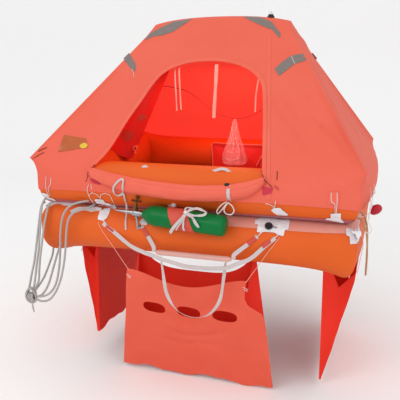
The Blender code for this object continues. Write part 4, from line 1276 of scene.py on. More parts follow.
class Canopy(Assembly):
    """The tent with its doorway, its trim and the light on top."""

    def build(self, shape: CanopyShape) -> bpy.types.Object:
        """Make the pieces.

        Args:
            shape: The sheet's shape.

        Returns:
            The sheet.
        """
        sheet = self.sheet(shape)
        surface = Surface([sheet])
        self.trim(surface)
        self.reflective_tapes(surface)
        self.marks(surface)
        self.beacon(shape)
        return sheet

    def sheet(self, shape: CanopyShape) -> bpy.types.Object:
        """The continuous sheet, lined inside with a painted glow for light through the cloth, with the doorway cut out.

        Args:
            shape: The sheet's shape.

        Returns:
            The piece.
        """
        work = bmesh.new()
        for side in (FRONT, RIGHT, BACK, LEFT):
            rows = shape.panel(side)
            grid = [[work.verts.new(point) for point in row] for row in rows]
            for low, high in zip(grid, grid[1:]):
                for j in range(len(low) - 1):
                    work.faces.new((low[j], low[j + 1], high[j + 1], high[j]))
        bmesh.ops.remove_doubles(work, verts=work.verts, dist=0.0002)
        bmesh.ops.recalc_face_normals(work, faces=work.faces)
        work.normal_update()
        work.verts.ensure_lookup_table()
        flip = -1 if work.verts[0].normal.dot(work.verts[0].co) < 0 else 1
        outer = [vertex.co.copy() for vertex in work.verts]
        inner = [vertex.co - vertex.normal * flip * shape.size.thickness for vertex in work.verts]
        for index, vertex in enumerate(work.verts):
            vertex.index = index
        count = len(outer)
        faces, marks = [], []
        for face in work.faces:
            corners = [vertex.index for vertex in face.verts]
            faces += [tuple(corners), tuple(count + k for k in reversed(corners))]
            marks += [0, 1]
        for edge in work.edges:
            if edge.is_boundary:
                a, b = (vertex.index for vertex in edge.verts)
                faces.append((a, b, count + b, count + a))
                marks.append(0)
        work.free()
        piece = mesh_object("canopy", outer + inner, faces, [Finishes.canopy, Finishes.glowing_lining], marks, 55.0)
        edge = smooth_path([(x, -1.1, z) for x, z in DOOR_EDGE + DOOR_SILL], 0.015)
        cutter = loft("doorway_cutter", [edge, [point + Vector((0, 0.98, 0)) for point in edge]], Finishes.hem)
        carve(piece, [cutter])
        self.show(piece, Slot.CANOPY, "canopy_front_panel", "canopy_back_panel", "canopy_left_panel",
                  "canopy_right_panel")
        return piece

    def trim(self, surface: Surface) -> None:
        """The doorway's hem, the seam beside it, the lower hem and their stitches.

        Args:
            surface: The sheet.
        """
        edge = [place for place in smooth_path([(x, 0, z) for x, z in DOOR_EDGE], 0.012)]
        centre = Vector((-0.05, 0, 0.70))
        outline = []
        for shift in (0.002, 0.024):
            line = []
            for point, run in zip(edge, directions(edge)):
                out = Vector((-run.z, 0, run.x))
                if out.dot(point - centre) < 0:
                    out = -out
                line.append(point + out * shift)
            outline.append(line)
        tops = [[surface.over(Vector((p.x, -0.8, p.z)), FORWARD, 0.0026) for p in line] for line in outline]
        bottoms = [[surface.over(Vector((p.x, -0.8, p.z)), FORWARD, 0.0004) for p in line] for line in outline]
        self.show(skin("doorway_hem", tops, bottoms, [Finishes.hem]), Slot.CANOPY)
        inner = [surface.over(Vector((p.x, -0.8, p.z)), FORWARD, 0.0030) for p in
                 (a.lerp(b, 0.82) for a, b in zip(*outline))]
        seam = ((0.352, 1.262), (0.376, 1.109), (0.415, 0.879), (0.461, 0.614), (0.490, 0.440), (0.497, 0.370))
        path = smooth_path([(x, 0, z) for x, z in seam], 0.012)
        left = [surface.over(Vector((p.x - 0.016, -0.8, p.z)), FORWARD, 0.0016) for p in path]
        right = [surface.over(Vector((p.x + 0.004, -0.8, p.z)), FORWARD, 0.0022) for p in path]
        low_left = [point - FORWARD * 0.0012 for point in left]
        low_right = [point - FORWARD * 0.0018 for point in right]
        self.show(skin("doorway_seam_tape", [left, right], [low_left, low_right], [Finishes.hem]), Slot.CANOPY)
        seam_line = [surface.over(Vector((p.x, -0.8, p.z)), FORWARD, 0.0026) for p in path]
        hem_line = []
        for side in (FRONT, RIGHT, BACK, LEFT):
            for place in HULL.places(side, 60)[:-1]:
                point = CanopyShape(CanopySize()).skirt_point(side, place, -7.0)
                hem_line.append(surface.over(point, side.outward, 0.0006, 0.1))
        self.show(self.stitches.run("canopy_stitches", [inner, seam_line], Finishes.stitch), Slot.CANOPY)
        hem = self.stitches.run("hem_stitches", [hem_line], Finishes.stitch, cyclic=True, Spacing=0.012)
        self.show(hem, Slot.CANOPY)

    def reflective_tapes(self, surface: Surface) -> None:
        """The four grey tapes and their echoes on the hidden side.

        Args:
            surface: The sheet.
        """
        tapes = {
            "reflective_tape_top_left": ((-0.486, -0.160, 1.241), (-0.467, -0.127, 1.283), (-0.412, -0.102, 1.316),
                                         (-0.317, -0.065, 1.364), (-0.187, -0.053, 1.379), (-0.299, -0.117, 1.296),
                                         (-0.373, -0.135, 1.272), (-0.427, -0.138, 1.269)),
            "reflective_tape_side_left": ((-0.602, -0.248, 1.125), (-0.572, -0.219, 1.163), (-0.498, -0.279, 1.084),
                                          (-0.490, -0.310, 1.044), (-0.519, -0.304, 1.052)),
            "reflective_tape_top_right": ((0.157, -0.050, 1.384), (0.266, -0.056, 1.377), (0.345, -0.079, 1.346),
                                          (0.384, -0.111, 1.304), (0.418, -0.139, 1.268), (0.414, -0.160, 1.240),
                                          (0.362, -0.120, 1.293), (0.284, -0.097, 1.323), (0.195, -0.067, 1.362)),
            "reflective_tape_side_right": ((0.413, -0.300, 1.057), (0.447, -0.332, 1.016), (0.531, -0.278, 1.086),
                                           (0.593, -0.264, 1.105), (0.579, -0.232, 1.146), (0.538, -0.235, 1.143),
                                           (0.491, -0.246, 1.128), (0.449, -0.272, 1.094)),
        }
        for name, corners in tapes.items():
            corners = [Vector(corner) for corner in corners]
            view = (Studio.position - corners[0]).normalized()
            self.show(drape(name, corners, surface, Finishes.retro, lift=0.0012, direction=view), Slot.BRIGHT)
            turned = [Vector((-p.x, -p.y, p.z)) for p in corners]
            view = Vector((-view.x, -view.y, view.z))
            self.show(drape(name + "_far", turned, surface, Finishes.retro, lift=0.0012, direction=view),
                      Slot.BRIGHT)

    def marks(self, surface: Surface) -> None:
        """The amber lamp film, the round mark, the ear's stitching and loose threads.

        Args:
            surface: The sheet.
        """
        slope = Vector((0, -1, 0.76)).normalized()
        film = [Vector(p) for p in ((-0.835, -0.620, 0.639), (-0.694, -0.623, 0.635), (-0.662, -0.662, 0.585),
                                    (-0.844, -0.693, 0.544))]
        self.show(drape("lamp_film", film, surface, Finishes.amber, crumple=0.0016, direction=slope), Slot.CLEAR)
        cell = [Vector((-0.690 + 0.026 * math.cos(k), -0.658 + 0.012 * math.sin(k), 0.590 + 0.016 * math.sin(k)))
                for k in (2 * math.pi * n / 16 for n in range(16))]
        self.show(drape("lamp_cell", cell, surface, Finishes.amber_cell, lift=0.0030, spacing=0.006,
                        crumple=0.002, direction=slope), Slot.CLEAR)
        ring = [Vector((0.731 + 0.012 * math.cos(k), -0.545 + 0.008 * math.sin(k), 0.746 + 0.012 * math.sin(k)))
                for k in (2 * math.pi * n / 16 for n in range(17))]
        lines = [[surface.over(point, slope, 0.001) for point in ring]]
        self.tie("round_mark", lines, 0.002, Finishes.hem)
        threads = [[surface.over(Vector(p), slope, 0.003) for p in route] for route in (
            ((-0.520, -0.290, 1.050), (-0.509, -0.300, 1.039), (-0.497, -0.315, 1.018), (-0.487, -0.330, 1.002)),
            ((0.503, -0.243, 1.132), (0.514, -0.258, 1.112), (0.530, -0.275, 1.090)))]
        self.tie("loose_threads", threads, 0.003)
        marks = [[surface.over(Vector(p), slope, 0.0015) for p in route] for route in (
            ((-0.990, -0.775, 0.535), (-0.955, -0.745, 0.560), (-0.915, -0.720, 0.585)),
            ((-0.985, -0.790, 0.520), (-0.950, -0.760, 0.542), (-0.925, -0.740, 0.555)))]
        self.tie("ear_stitching", marks, 0.004, Finishes.dark_slit)

    def beacon(self, shape: CanopyShape) -> None:
        """The light on the ridge.

        Args:
            shape: The sheet's shape, which gives the ridge's height.
        """
        foot = Vector((0.326, 0, shape.ridge_height(0.308) - 0.003))
        self.show(revolve("beacon_base", foot, UP, ((0.0, 0.024), (0.006, 0.024), (0.009, 0.021), (0.012, 0.018),
                                                    (0.015, 0.018), (0.017, 0.0165), (0.020, 0.0165)),
                          Finishes.black), Slot.BLACK, "beacon_foot")
        dome = [(0.0, 0.014)] + [(0.010 + 0.013 * math.sin(k), 0.014 * math.cos(k) + 0.0005)
                                 for k in (math.pi / 2 * n / 10 for n in range(11))]
        self.show(revolve("beacon_lens", foot + UP * 0.0202, UP, dome, Finishes.dome), Slot.CLEAR, "beacon_dome")
        core = foot + UP * 0.0205
        self.show(revolve("beacon_bulb", core, UP, ((0.0, 0.005), (0.012, 0.005), (0.014, 0.002)),
                          Finishes.white), Slot.WHITE)


# Door curtain


class DoorCurtain(Assembly):
    """The rolled curtain below the doorway, with its closures."""

    stations = ((-0.600, 0.788, 0.474, 0.012, 0.010), (-0.585, 0.792, 0.462, 0.026, 0.018),
                (-0.555, 0.797, 0.450, 0.038, 0.026), (-0.40, 0.812, 0.414, 0.045, 0.030),
                (-0.20, 0.818, 0.390, 0.046, 0.031), (0.02, 0.820, 0.379, 0.046, 0.031),
                (0.22, 0.818, 0.388, 0.045, 0.031), (0.36, 0.811, 0.414, 0.042, 0.030),
                (0.42, 0.800, 0.440, 0.034, 0.026), (0.452, 0.790, 0.460, 0.024, 0.018),
                (0.466, 0.784, 0.472, 0.010, 0.008))

    def build(self) -> bpy.types.Object:
        """Make the roll.

        Returns:
            The roll.
        """
        middle = smooth_path([(x, -out, z) for x, out, z, _, _ in self.stations], 0.010)
        sizes = smooth_path([(x, high, deep) for x, _, _, high, deep in self.stations], 0.010)
        rings = []
        for k, point in enumerate(middle):
            share = k / (len(middle) - 1) * (len(sizes) - 1)
            near = sizes[int(share)].lerp(sizes[min(int(share) + 1, len(sizes) - 1)], share % 1)
            ring = []
            for n in range(44):
                turn = 2 * math.pi * n / 44
                groove = math.exp(-((turn - 2.45 - 0.25 * math.sin(point.x * 4)) / 0.13) ** 2)
                lip = math.exp(-((turn - 2.85 - 0.25 * math.sin(point.x * 4)) / 0.25) ** 2)
                size = 1 - 0.16 * groove + 0.07 * lip
                spot = Vector((point.x, math.cos(turn), math.sin(turn)))
                size += 0.07 * wrinkle(Vector((point.x * 2.2, spot.y, spot.z)), 2.2)
                size += 0.03 * wrinkle(Vector((point.x * 12, spot.y, spot.z)), 1.4)
                ring.append(Vector((point.x, point.y - near.z * size * -math.cos(turn),
                                    point.z + near.y * size * math.sin(turn))))
            rings.append(ring)
        roll = loft("door_curtain", rings, Finishes.hem, sharp=70.0)
        return self.show(roll, Slot.CANOPY, "door_roll")

    def closures(self, surface: Surface) -> None:
        """Zip ends, corner patches, toggles and the ties that hold the roll.

        Args:
            surface: The tubes, the canopy and the roll.
        """
        patches = {
            "closure_patch_left": ((-0.591, 0.418), (-0.570, 0.431), (-0.515, 0.408), (-0.520, 0.388),
                                   (-0.560, 0.394), (-0.586, 0.406)),
            "closure_patch_right": ((0.452, 0.436), (0.512, 0.428), (0.503, 0.400), (0.456, 0.388)),
        }
        for name, corners in patches.items():
            outline = [Vector((x, -0.80, z)) for x, z in corners]
            self.show(drape(name, outline, surface, Finishes.crimson, direction=FORWARD, crumple=0.002),
                      Slot.POCKET)
        slits = ([(-0.580, 0.500), (-0.594, 0.462), (-0.606, 0.430), (-0.617, 0.402)],
                 [(0.428, 0.503), (0.462, 0.476), (0.506, 0.433)], [(0.521, 0.512), (0.526, 0.470)])
        self.tie("closure_zips", [surface.front(line, 0.0015) for line in slits], 0.0042, Finishes.dark_slit)
        tabs = ([(0.515, 0.444), (0.543, 0.430)], [(0.517, 0.436), (0.543, 0.420)])
        self.tie("closure_tabs", [surface.front([a, ((a[0] + b[0]) / 2, (a[1] + b[1]) / 2), b], 0.002)
                                  for a, b in tabs], 0.003, Finishes.crimson)
        bow = [(-0.366, 0.352), (-0.404, 0.332), (-0.427, 0.350), (-0.412, 0.392), (-0.376, 0.430),
               (-0.348, 0.436), (-0.354, 0.390), (-0.370, 0.350)]
        points = smooth_path([surface.over(Vector((x, -0.8, z)), FORWARD, 0.004 + 0.010 * (k % 3) / 2)
                              for k, (x, z) in enumerate(bow)], 0.005)
        looks = [(FORWARD + Vector((0.5 * math.sin(k * 0.35), 0, 0.5 * math.cos(k * 0.3)))).normalized()
                 for k in range(len(points))]
        self.show(strap("roll_bow_loop", points, looks, 0.012, 0.0014, Finishes.webbing), Slot.WEBBING)
        tail = smooth_path([surface.over(Vector((x, -0.8, z)), FORWARD, 0.006) for x, z in (
            (-0.369, 0.350), (-0.371, 0.307), (-0.380, 0.264), (-0.382, 0.210), (-0.372, 0.167),
            (-0.365, 0.124))], 0.006)
        self.show(strap("roll_bow_tail", tail, FORWARD, 0.011, 0.0014, Finishes.webbing), Slot.WEBBING)
        over = smooth_path([surface.over(Vector((x, -0.8, z)), FORWARD, 0.003) for x, z in (
            (0.272, 0.437), (0.274, 0.415), (0.276, 0.395), (0.276, 0.368), (0.275, 0.345))], 0.006)
        self.show(strap("toggle_strap", over, FORWARD, 0.020, 0.0014, Finishes.webbing), Slot.WEBBING)
        bead = surface.over(Vector((0.262, -0.8, 0.437)), FORWARD, 0.006)
        self.show(revolve("toggle_bead", bead - Vector((0.014, 0, 0)), Vector((1, 0, 0.1)),
                          ((0.0, 0.004), (0.004, 0.008), (0.014, 0.009), (0.024, 0.008), (0.028, 0.004)),
                          Finishes.black, 16), Slot.BLACK)
        loops = ([(0.262, 0.345), (0.232, 0.325), (0.206, 0.290), (0.212, 0.272), (0.236, 0.300), (0.262, 0.335)],
                 [(0.268, 0.340), (0.292, 0.322), (0.303, 0.296), (0.288, 0.274), (0.258, 0.276), (0.246, 0.298),
                  (0.258, 0.325), (0.272, 0.342)])
        self.tie("toggle_loops", [[Vector((x, -0.822, z)) for x, z in loop] for loop in loops], 0.0065)
        inner = ((-0.430, 0.405), (-0.389, 0.429), (-0.330, 0.466), (-0.268, 0.500), (-0.244, 0.483),
                 (-0.201, 0.450), (-0.129, 0.434), (-0.011, 0.431), (0.067, 0.452), (0.172, 0.500), (0.226, 0.506),
                 (0.271, 0.475), (0.322, 0.448), (0.352, 0.430))
        path = smooth_path([(x, min(-0.720, -0.700 - 0.5 * (0.50 - z)), z) for x, z in inner], 0.010)
        looks = [(FORWARD + Vector((0.3 * math.sin(k * 0.21), 0, 0.6 + 0.4 * math.sin(k * 0.13)))).normalized()
                 for k in range(len(path))]
        self.show(strap("inner_lifeline", path, looks, 0.018, 0.0016, Finishes.webbing), Slot.WEBBING)


# Arch and gear inside


class Interior(Assembly):
    """The arch tube and what hangs or lies inside the canopy."""

    lamp_cord = ((-0.4382, 0.030, 0.940), (-0.420, 0.062, 0.938), (-0.370, 0.090, 0.928), (-0.300, 0.100, 0.912),
                 (-0.240, 0.100, 0.882), (-0.183, 0.100, 0.844), (-0.135, 0.100, 0.806), (-0.088, 0.100, 0.774),
                 (-0.030, 0.100, 0.744), (0.030, 0.100, 0.727), (0.071, 0.100, 0.7205), (0.120, 0.100, 0.724),
                 (0.180, 0.100, 0.741), (0.233, 0.100, 0.766), (0.300, 0.090, 0.812), (0.370, 0.070, 0.868),
                 (0.420, 0.048, 0.912), (0.4382, 0.030, 0.940))

    def build(self, shape: CanopyShape, hull: Surface) -> None:
        """Make the pieces.

        Args:
            shape: The canopy's shape.
            hull: The tubes.
        """
        arch = self.arch(shape)
        self.arch_patches(Surface([arch]), hull)
        self.tapes()
        self.cord()
        self.bag()
        self.pouch(hull)

    def arch_path(self, shape: CanopyShape) -> list[Vector]:
        """Centreline of the arch, from the left foot over the top to the right.

        Args:
            shape: The canopy's shape.

        Returns:
            Its points.
        """
        crown = [Vector((0.28 * k / 10, 0, shape.arch_centre(0.28 * k / 10) - 0.001 * k / 10)) for k in range(11)]
        bend = []
        for k in range(1, 13):
            turn = math.radians(64.7 * k / 12)
            bend.append(crown[-1] + Vector((math.sin(turn), 0, math.cos(turn) - 1)) * 0.12)
        drop = bend[-1].z - 0.46
        foot = bend[-1] + Vector((drop / math.tan(math.radians(64.7)), 0, -drop))
        right = crown + bend + [bend[-1].lerp(foot, k / 20) for k in range(1, 21)]
        return [Vector((-p.x, p.y, p.z)) for p in reversed(right[1:])] + right

    def arch(self, shape: CanopyShape) -> bpy.types.Object:
        """The inflated hoop.

        Args:
            shape: The canopy's shape.

        Returns:
            The piece.
        """
        path = self.arch_path(shape)
        rings = []
        for point, run in zip(path, directions(path)):
            up = run.cross(Vector((0, 1, 0))) * -1
            ring = []
            for k in range(36):
                turn = 2 * math.pi * k / 36
                spot = up * math.cos(turn) - Vector((0, 1, 0)) * math.sin(turn)
                inside = max(-spot.dot(UP), 0.0) * math.exp(-((abs(point.x) - 0.35) / 0.08) ** 2)
                size = shape.size.arch_radius + 0.004 * inside * math.sin(point.x * 160)
                ring.append(point + spot * (size + 0.0008 * wrinkle(point + spot, 6.0)))
            rings.append(ring)
        # The hoop's cloth carries a painted glow.
        return self.show(loft("arch_hoop", rings, Finishes.arch, sharp=70.0), Slot.POCKET, "arch_tube")

    def arch_patches(self, arch: Surface, hull: Surface) -> None:
        """Round patches on the arch's left leg and a loop by its foot.

        Args:
            arch: The arch tube.
            hull: The tubes; not used.
        """
        for name, centre, wide, high in (("arch_patch_upper", (-0.540, -0.12, 0.725), 0.030, 0.024),
                                         ("arch_patch_lower", (-0.665, -0.12, 0.600), 0.052, 0.042)):
            outline = [Vector(centre) + Vector((wide * math.cos(k), 0, high * math.sin(k)))
                       for k in (2 * math.pi * n / 20 for n in range(20))]
            self.show(drape(name, outline, arch, Finishes.salmon, direction=Vector((0.3, -1, 0)).normalized(),
                            spacing=0.008), Slot.POCKET)
        loop = [Vector((-0.607 + 0.022 * math.cos(k), -0.100, 0.499 + 0.018 * math.sin(k)))
                for k in (2 * math.pi * n / 16 for n in range(15))]
        self.tie("foot_loop_ring", [[arch.over(p, Vector((0.3, -1, 0)).normalized(), 0.003) for p in loop]], 0.006,
                 Finishes.peach)

    def tapes(self) -> None:
        """The tie tapes that hang from the arch."""
        hanging = {
            "hanging_tape_left": ((-0.237, -0.240, 1.075), (-0.237, -0.260, 1.045), (-0.234, -0.262, 0.960),
                                  (-0.230, -0.262, 0.870), (-0.227, -0.260, 0.793)),
            "hanging_tape_left_second": ((-0.208, -0.240, 1.080), (-0.207, -0.264, 1.051), (-0.203, -0.268, 0.960),
                                         (-0.199, -0.268, 0.870), (-0.196, -0.264, 0.801)),
            "hanging_tape_middle": ((0.036, -0.245, 1.085), (0.038, -0.258, 1.040), (0.034, -0.266, 0.930),
                                    (0.030, -0.272, 0.830), (0.027, -0.276, 0.753)),
            "hanging_tape_right": ((0.318, -0.300, 1.000), (0.313, -0.310, 0.960), (0.306, -0.318, 0.890),
                                   (0.304, -0.322, 0.800)),
        }
        for name, route in hanging.items():
            path = smooth_path(route, 0.010)
            looks = [(FORWARD + Vector((0.35 * math.sin(k * 0.3 + len(name)), 0, 0))).normalized()
                     for k in range(len(path))]
            width = 0.022 if "middle" in name else 0.0095
            self.show(strap(name, path, looks, width, 0.0012, Finishes.peach), Slot.WEBBING)

    def cord(self) -> None:
        """The lamp's cord across the arch."""
        path = smooth_path(self.lamp_cord, 0.006)
        piece = self.cords.run("lamp_line", [path], Finishes.red_cord, Radius=0.0025)
        self.show(piece, Slot.RED_CORD, "lamp_cord")
        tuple(path[0])
        run_length(path)

    def bag(self) -> None:
        """The clear bag, gathered at its top and creased, with painted glints as thin pale lines."""
        top = Vector((0.071, 0.100, 0.7177))
        profile = [(0.0, 0.006), (0.012, 0.009), (0.030, 0.015), (0.055, 0.018), (0.085, 0.024), (0.125, 0.034),
                   (0.170, 0.048), (0.215, 0.062), (0.260, 0.073), (0.290, 0.078), (0.310, 0.074), (0.320, 0.060),
                   (0.325, 0.040)]
        rings = []
        for along, radius in profile:
            ring = []
            for k in range(48):
                turn = 2 * math.pi * k / 48
                pleat = 1 + 0.20 * math.sin(turn * 9 + along * 14) * (1 - along / 0.5) + 0.10 * wrinkle(
                    Vector((math.cos(turn), math.sin(turn), along * 12)), 2.4)
                ring.append(top + Vector((radius * 1.08 * pleat * math.cos(turn), radius * 0.8 * pleat * math.sin(turn),
                                          -along)))
            rings.append(ring)
        self.show(loft("gear_bag", rings, Finishes.clear, sharp=25.0), Slot.CLEAR, "clear_gear_bag")
        # Painted highlights: thin pale lines standing for glints on the film.
        glints = (((0.050, 0.66), (0.060, 0.60), (0.045, 0.54)), ((0.085, 0.67), (0.080, 0.61), (0.095, 0.55)),
                  ((0.030, 0.50), (0.062, 0.485), (0.100, 0.495)), ((0.020, 0.45), (0.060, 0.435), (0.115, 0.452)),
                  ((0.104, 0.54), (0.118, 0.49), (0.112, 0.44)), ((0.066, 0.58), (0.074, 0.53), (0.058, 0.48)))
        lines = [[Vector((x, 0.036 + 0.055 * (z - 0.42) / 0.25, z)) for x, z in line] for line in glints]
        self.tie("bag_painted_glints", lines, 0.0024, Finishes.glint)

    def pouch(self, hull: Surface) -> None:
        """The stowage pouch on the back tube, with pale piping.

        Args:
            hull: The tubes.
        """
        front, back = [], []
        for j in range(17):
            z = 0.300 + 0.190 * j / 16
            line, far = [], []
            for i in range(41):
                u = i / 40
                x = -0.205 + 0.420 * u
                swell = 0.018 * math.sin(math.pi * u) * math.sin(math.pi * min(j / 14, 1.0))
                spot = Vector((x, 0.500 - swell + 0.004 * wrinkle(Vector((x, z, 0)), 14.0), z))
                line.append(spot)
                far.append(Vector((x, max(spot.y + 0.004, min(0.552, hull.over(spot, Vector((0, -1, 0)), 0.002, 0.3).y)),
                                   z)))
            front.append(line)
            back.append(far)
        # The pouch's cloth carries the arch's painted glow.
        self.show(skin("gear_pouch", front, back, [Finishes.arch]), Slot.POCKET, "stowage_pouch")
        edge = [Vector((x, y, z)) for x, y, z in (
            (-0.204, 0.494, 0.310), (-0.205, 0.492, 0.400), (-0.204, 0.490, 0.486), (-0.100, 0.478, 0.492),
            (0.010, 0.474, 0.493), (0.120, 0.479, 0.492), (0.214, 0.490, 0.487))]
        slant = [Vector((0.212, 0.492, 0.440)), Vector((0.180, 0.484, 0.390)), Vector((0.150, 0.482, 0.330))]
        self.tie("pouch_piping", [edge, slant], 0.007, Finishes.peach)


# Ballast pockets


@dataclass(frozen=True)
class Pocket:
    """A water pocket hung under one side, wide at its mouth and closed in a line below."""

    name: str
    side: Side
    top_half: float
    bottom_half: float
    outer_reach: float
    inner_reach: float
    bottom_reach: float
    bottom_z: float
    sag: float = 0.035
    inner_sag: float = 0.0
    right_edge: tuple[tuple[float, float], ...] = ()
    mouth_z: float = -0.128
    notch_z: float = -0.24
    rim_z: float = -0.0163
    wall: float = 0.0024
    fold_in: float = 0.02
    seed: float = 0.0
    levels: int = 56

    def at(self, along: float, out: float, z: float) -> Vector:
        """A point from its places along the side, out from the centre and up."""
        return self.side.along * along + self.side.outward * out + UP * z

    def crease(self, k: float, share: float) -> float:
        """How far the outer panel swells or dips at a place across it and down it.

        Args:
            k: Its place across, from -1 to 1.
            share: Its place down, from 0 to 1.

        Returns:
            The distance outwards.
        """
        place = Vector((k * 0.9 + self.seed, share * 1.4, self.seed))
        lift = 0.010 * noise.noise(place * 1.7) + 0.004 * noise.noise(place * 5.0)
        lift -= 0.010 * math.exp(-((share - 0.485 - 0.05 * math.cos(k * 4.5)) / 0.018) ** 2) * smoothstep(
            (0.42 - abs(k - 0.08)) * 6)
        lift += 0.006 * math.exp(-((share - 0.26 - 0.05 * math.cos(k * 2.2)) / 0.02) ** 2) * (1 - k * k)
        lift -= 0.005 * math.exp(-((share - 0.62 + 0.03 * k) / 0.016) ** 2) * smoothstep((0.55 - abs(k + 0.1)) * 4)
        lift += 0.005 * math.exp(-((k - 0.25 - 0.5 * (share - 0.6)) / 0.04) ** 2) * smoothstep((share - 0.5) * 4)
        hang = 0.012 * math.exp(-((abs(k) - 0.93) / 0.10) ** 2) * (1 - share) ** 2
        return (lift + hang) * smoothstep(share * 8 + 0.2)

    def right_half(self, share: float) -> float:
        """How wide the outer panel is on its right at a place down it."""
        for (a, low), (b, high) in zip(self.right_edge, self.right_edge[1:]):
            if a <= share <= b:
                return low + (high - low) * (share - a) / (b - a)
        return self.top_half + (self.bottom_half - self.top_half) * share

    def ring(self, share: float, inset: float) -> list[Vector]:
        """One level of the pocket.

        Args:
            share: 0 at its rim and 1 at its bottom.
            inset: How far inside the outer face the ring lies.

        Returns:
            Its points.
        """
        half = self.top_half + (self.bottom_half - self.top_half) * share - inset
        right = self.right_half(share) - inset
        outer = self.outer_reach + (self.bottom_reach + 0.010 - self.outer_reach) * share - inset
        inner = self.inner_reach + (self.bottom_reach - 0.002 - self.inner_reach) * share + inset
        outer = max(outer, inner + 0.0015)
        wave = 0.012 * math.sin(2.6 + self.seed)

        def level(rim: float, k: float) -> float:
            bottom = self.bottom_z + inset * 2 + 0.010 * math.sin(7.0 * k + self.seed * 3) - wave * k
            bottom += 0.005 * math.sin(17.0 * k + self.seed)
            return rim + (bottom - rim) * share

        steps = [k / 20 - 1 for k in range(41)]
        points = [self.at((right if k > 0 else half) * k, outer + self.crease(k, share),
                          level(self.mouth_z - self.sag * (1 - k * k) ** 2, k)) for k in steps]
        for t in (0.25, 0.5, 0.75):
            rim = self.notch_z + (self.mouth_z - self.notch_z if t < 0.5 else self.rim_z - self.notch_z) * abs(
                2 * t - 1)
            points.append(self.at(right + (half - right) * t - self.fold_in * math.sin(math.pi * t) * (1 - share),
                                  outer + (inner - outer) * t, level(rim, 1.0)))
        points += [self.at(half * -k, inner + 0.5 * min(self.crease(-k, share), 0.0),
                           level(self.rim_z - self.inner_sag * (1 - k ** 4), -k)) for k in steps]
        for t in (0.75, 0.5, 0.25):
            rim = self.notch_z + (self.mouth_z - self.notch_z if t < 0.5 else self.rim_z - self.notch_z) * abs(
                2 * t - 1)
            points.append(self.at(self.fold_in * math.sin(math.pi * t) * (1 - share) - half,
                                  outer + (inner - outer) * t, level(rim, -1.0)))
        return points

    def hole(self, number: int, place: float) -> bpy.types.Object:
        """A cutter for one of the filling holes.

        Args:
            number: Its number.
            place: Its place along the side.

        Returns:
            The cutter.
        """
        outline = []
        for k in range(28):
            turn = 2 * math.pi * k / 28
            across, up = math.cos(turn), math.sin(turn)
            wide = 0.075 * math.copysign(abs(across) ** 0.75, across)
            high = 0.037 * math.copysign(abs(up) ** 0.8, up) - 0.05 * wide * self.side.along.x
            outline.append(self.side.along * wide + UP * high)
        depth = -0.05 - (self.outer_reach - self.bottom_reach) * 0.36 - 0.03
        centre = self.at(place, self.outer_reach + 0.05, -0.386)
        rings = [[centre + point + self.side.outward * out for point in outline] for out in (0.05, depth)]
        return loft(f"{self.name}_hole_{number}", rings, Finishes.pocket)

    def build(self) -> bpy.types.Object:
        """The pocket's shell with its filling holes."""
        shares = [k / self.levels for k in range(self.levels + 1)]
        outer = [self.ring(share, 0.0) for share in shares]
        inner = [self.ring(share, self.wall) for share in shares]
        rings = list(reversed(outer)) + inner
        count = len(rings[0])
        points = [point for ring in rings for point in ring]
        # Slot 1 is painted shade: the gussets, the raft-facing panel and the inside.
        faces, marks = [], []
        for i in range(len(rings) - 1):
            for j in range(count):
                k = (j + 1) % count
                faces.append((i * count + j, (i + 1) * count + j, (i + 1) * count + k, i * count + k))
                marks.append(0 if i <= self.levels and j < 40 else 1)
        for base in (0, (len(rings) - 1) * count):
            for j in range(40):
                faces.append((base + j, base + j + 1, base + 83 - j, base + 84 - j))
                marks.append(0)
            faces.append(tuple(base + k for k in (40, 41, 42, 43, 44)))
            faces.append(tuple(base + k for k in (84, 85, 86, 87, 0)))
            marks += [1, 1]
        shell = mesh_object(f"{self.name}_pocket_shell", points, faces, [Finishes.pocket, Finishes.deep], marks, 60.0)
        places = [self.top_half * share for share in (-0.6, 0.0, 0.6)]
        carve(shell, [self.hole(number, place) for number, place in enumerate(places)])
        return shell


class BallastPockets(Assembly):
    """The three pockets, their cords and stitches."""

    cord_stations = ((-23, 0.0, 0.0), (-12, 0.08, 0.0020), (0, 0.19, 0.0016), (8, 0.27, 0.0024))

    def build(self) -> None:
        """Make the pieces."""
        pockets = (
            Pocket("front", FRONT, 0.378, 0.505, 0.768, 0.575, 0.590, -0.870, sag=0.078, inner_sag=0.155,
                   right_edge=((0.0, 0.365), (0.16, 0.350), (0.225, 0.370), (0.285, 0.452), (0.34, 0.468),
                               (0.75, 0.495), (1.0, 0.505))),
            Pocket("right", RIGHT, 0.440, 0.455, 0.960, 0.765, 0.775, -0.830, seed=2.1),
            Pocket("left", LEFT, 0.400, 0.420, 0.890, 0.765, 0.775, -0.760, seed=3.4, fold_in=0.05),
        )
        for pocket in pockets:
            self.show(pocket.build(), Slot.POCKET, f"{pocket.name}_ballast_pocket")
            self.hang(pocket)

    def hang(self, pocket: Pocket) -> None:
        """The two cords that hold a pocket's outer corners, with their stitches.

        Args:
            pocket: The pocket.
        """
        for end, sign in (("first", -1), ("second", 1)):
            top = sign * (pocket.top_half + 0.175)
            low = sign * (pocket.top_half - 0.014)
            route = [HULL.at_real(pocket.side, top + (low - top) * share, angle, -1, 0.0026 + slack)
                     for angle, share, slack in self.cord_stations]
            foot = pocket.at(low, pocket.outer_reach + 0.006, pocket.mouth_z - 0.008)
            route.append(foot)
            piece = self.cords.run(f"{pocket.name}_pocket_tie_{end}", [even_path(route, 0.006)], Finishes.peach,
                                   Radius=0.0018)
            self.show(piece, Slot.WEBBING, f"{pocket.name}_pocket_cord_{end}")
            down = foot + pocket.side.outward * 0.004
            marks = [[down + pocket.side.along * a - UP * b for a, b in line] for line in (
                ((-0.016, 0.026), (0.0, 0.032), (0.016, 0.040)), ((-0.010, 0.040), (0.002, 0.044), (0.012, 0.050)))]
            self.tie(f"{pocket.name}_pocket_stitch_{end}", marks, 0.0032)


# Inflation gear


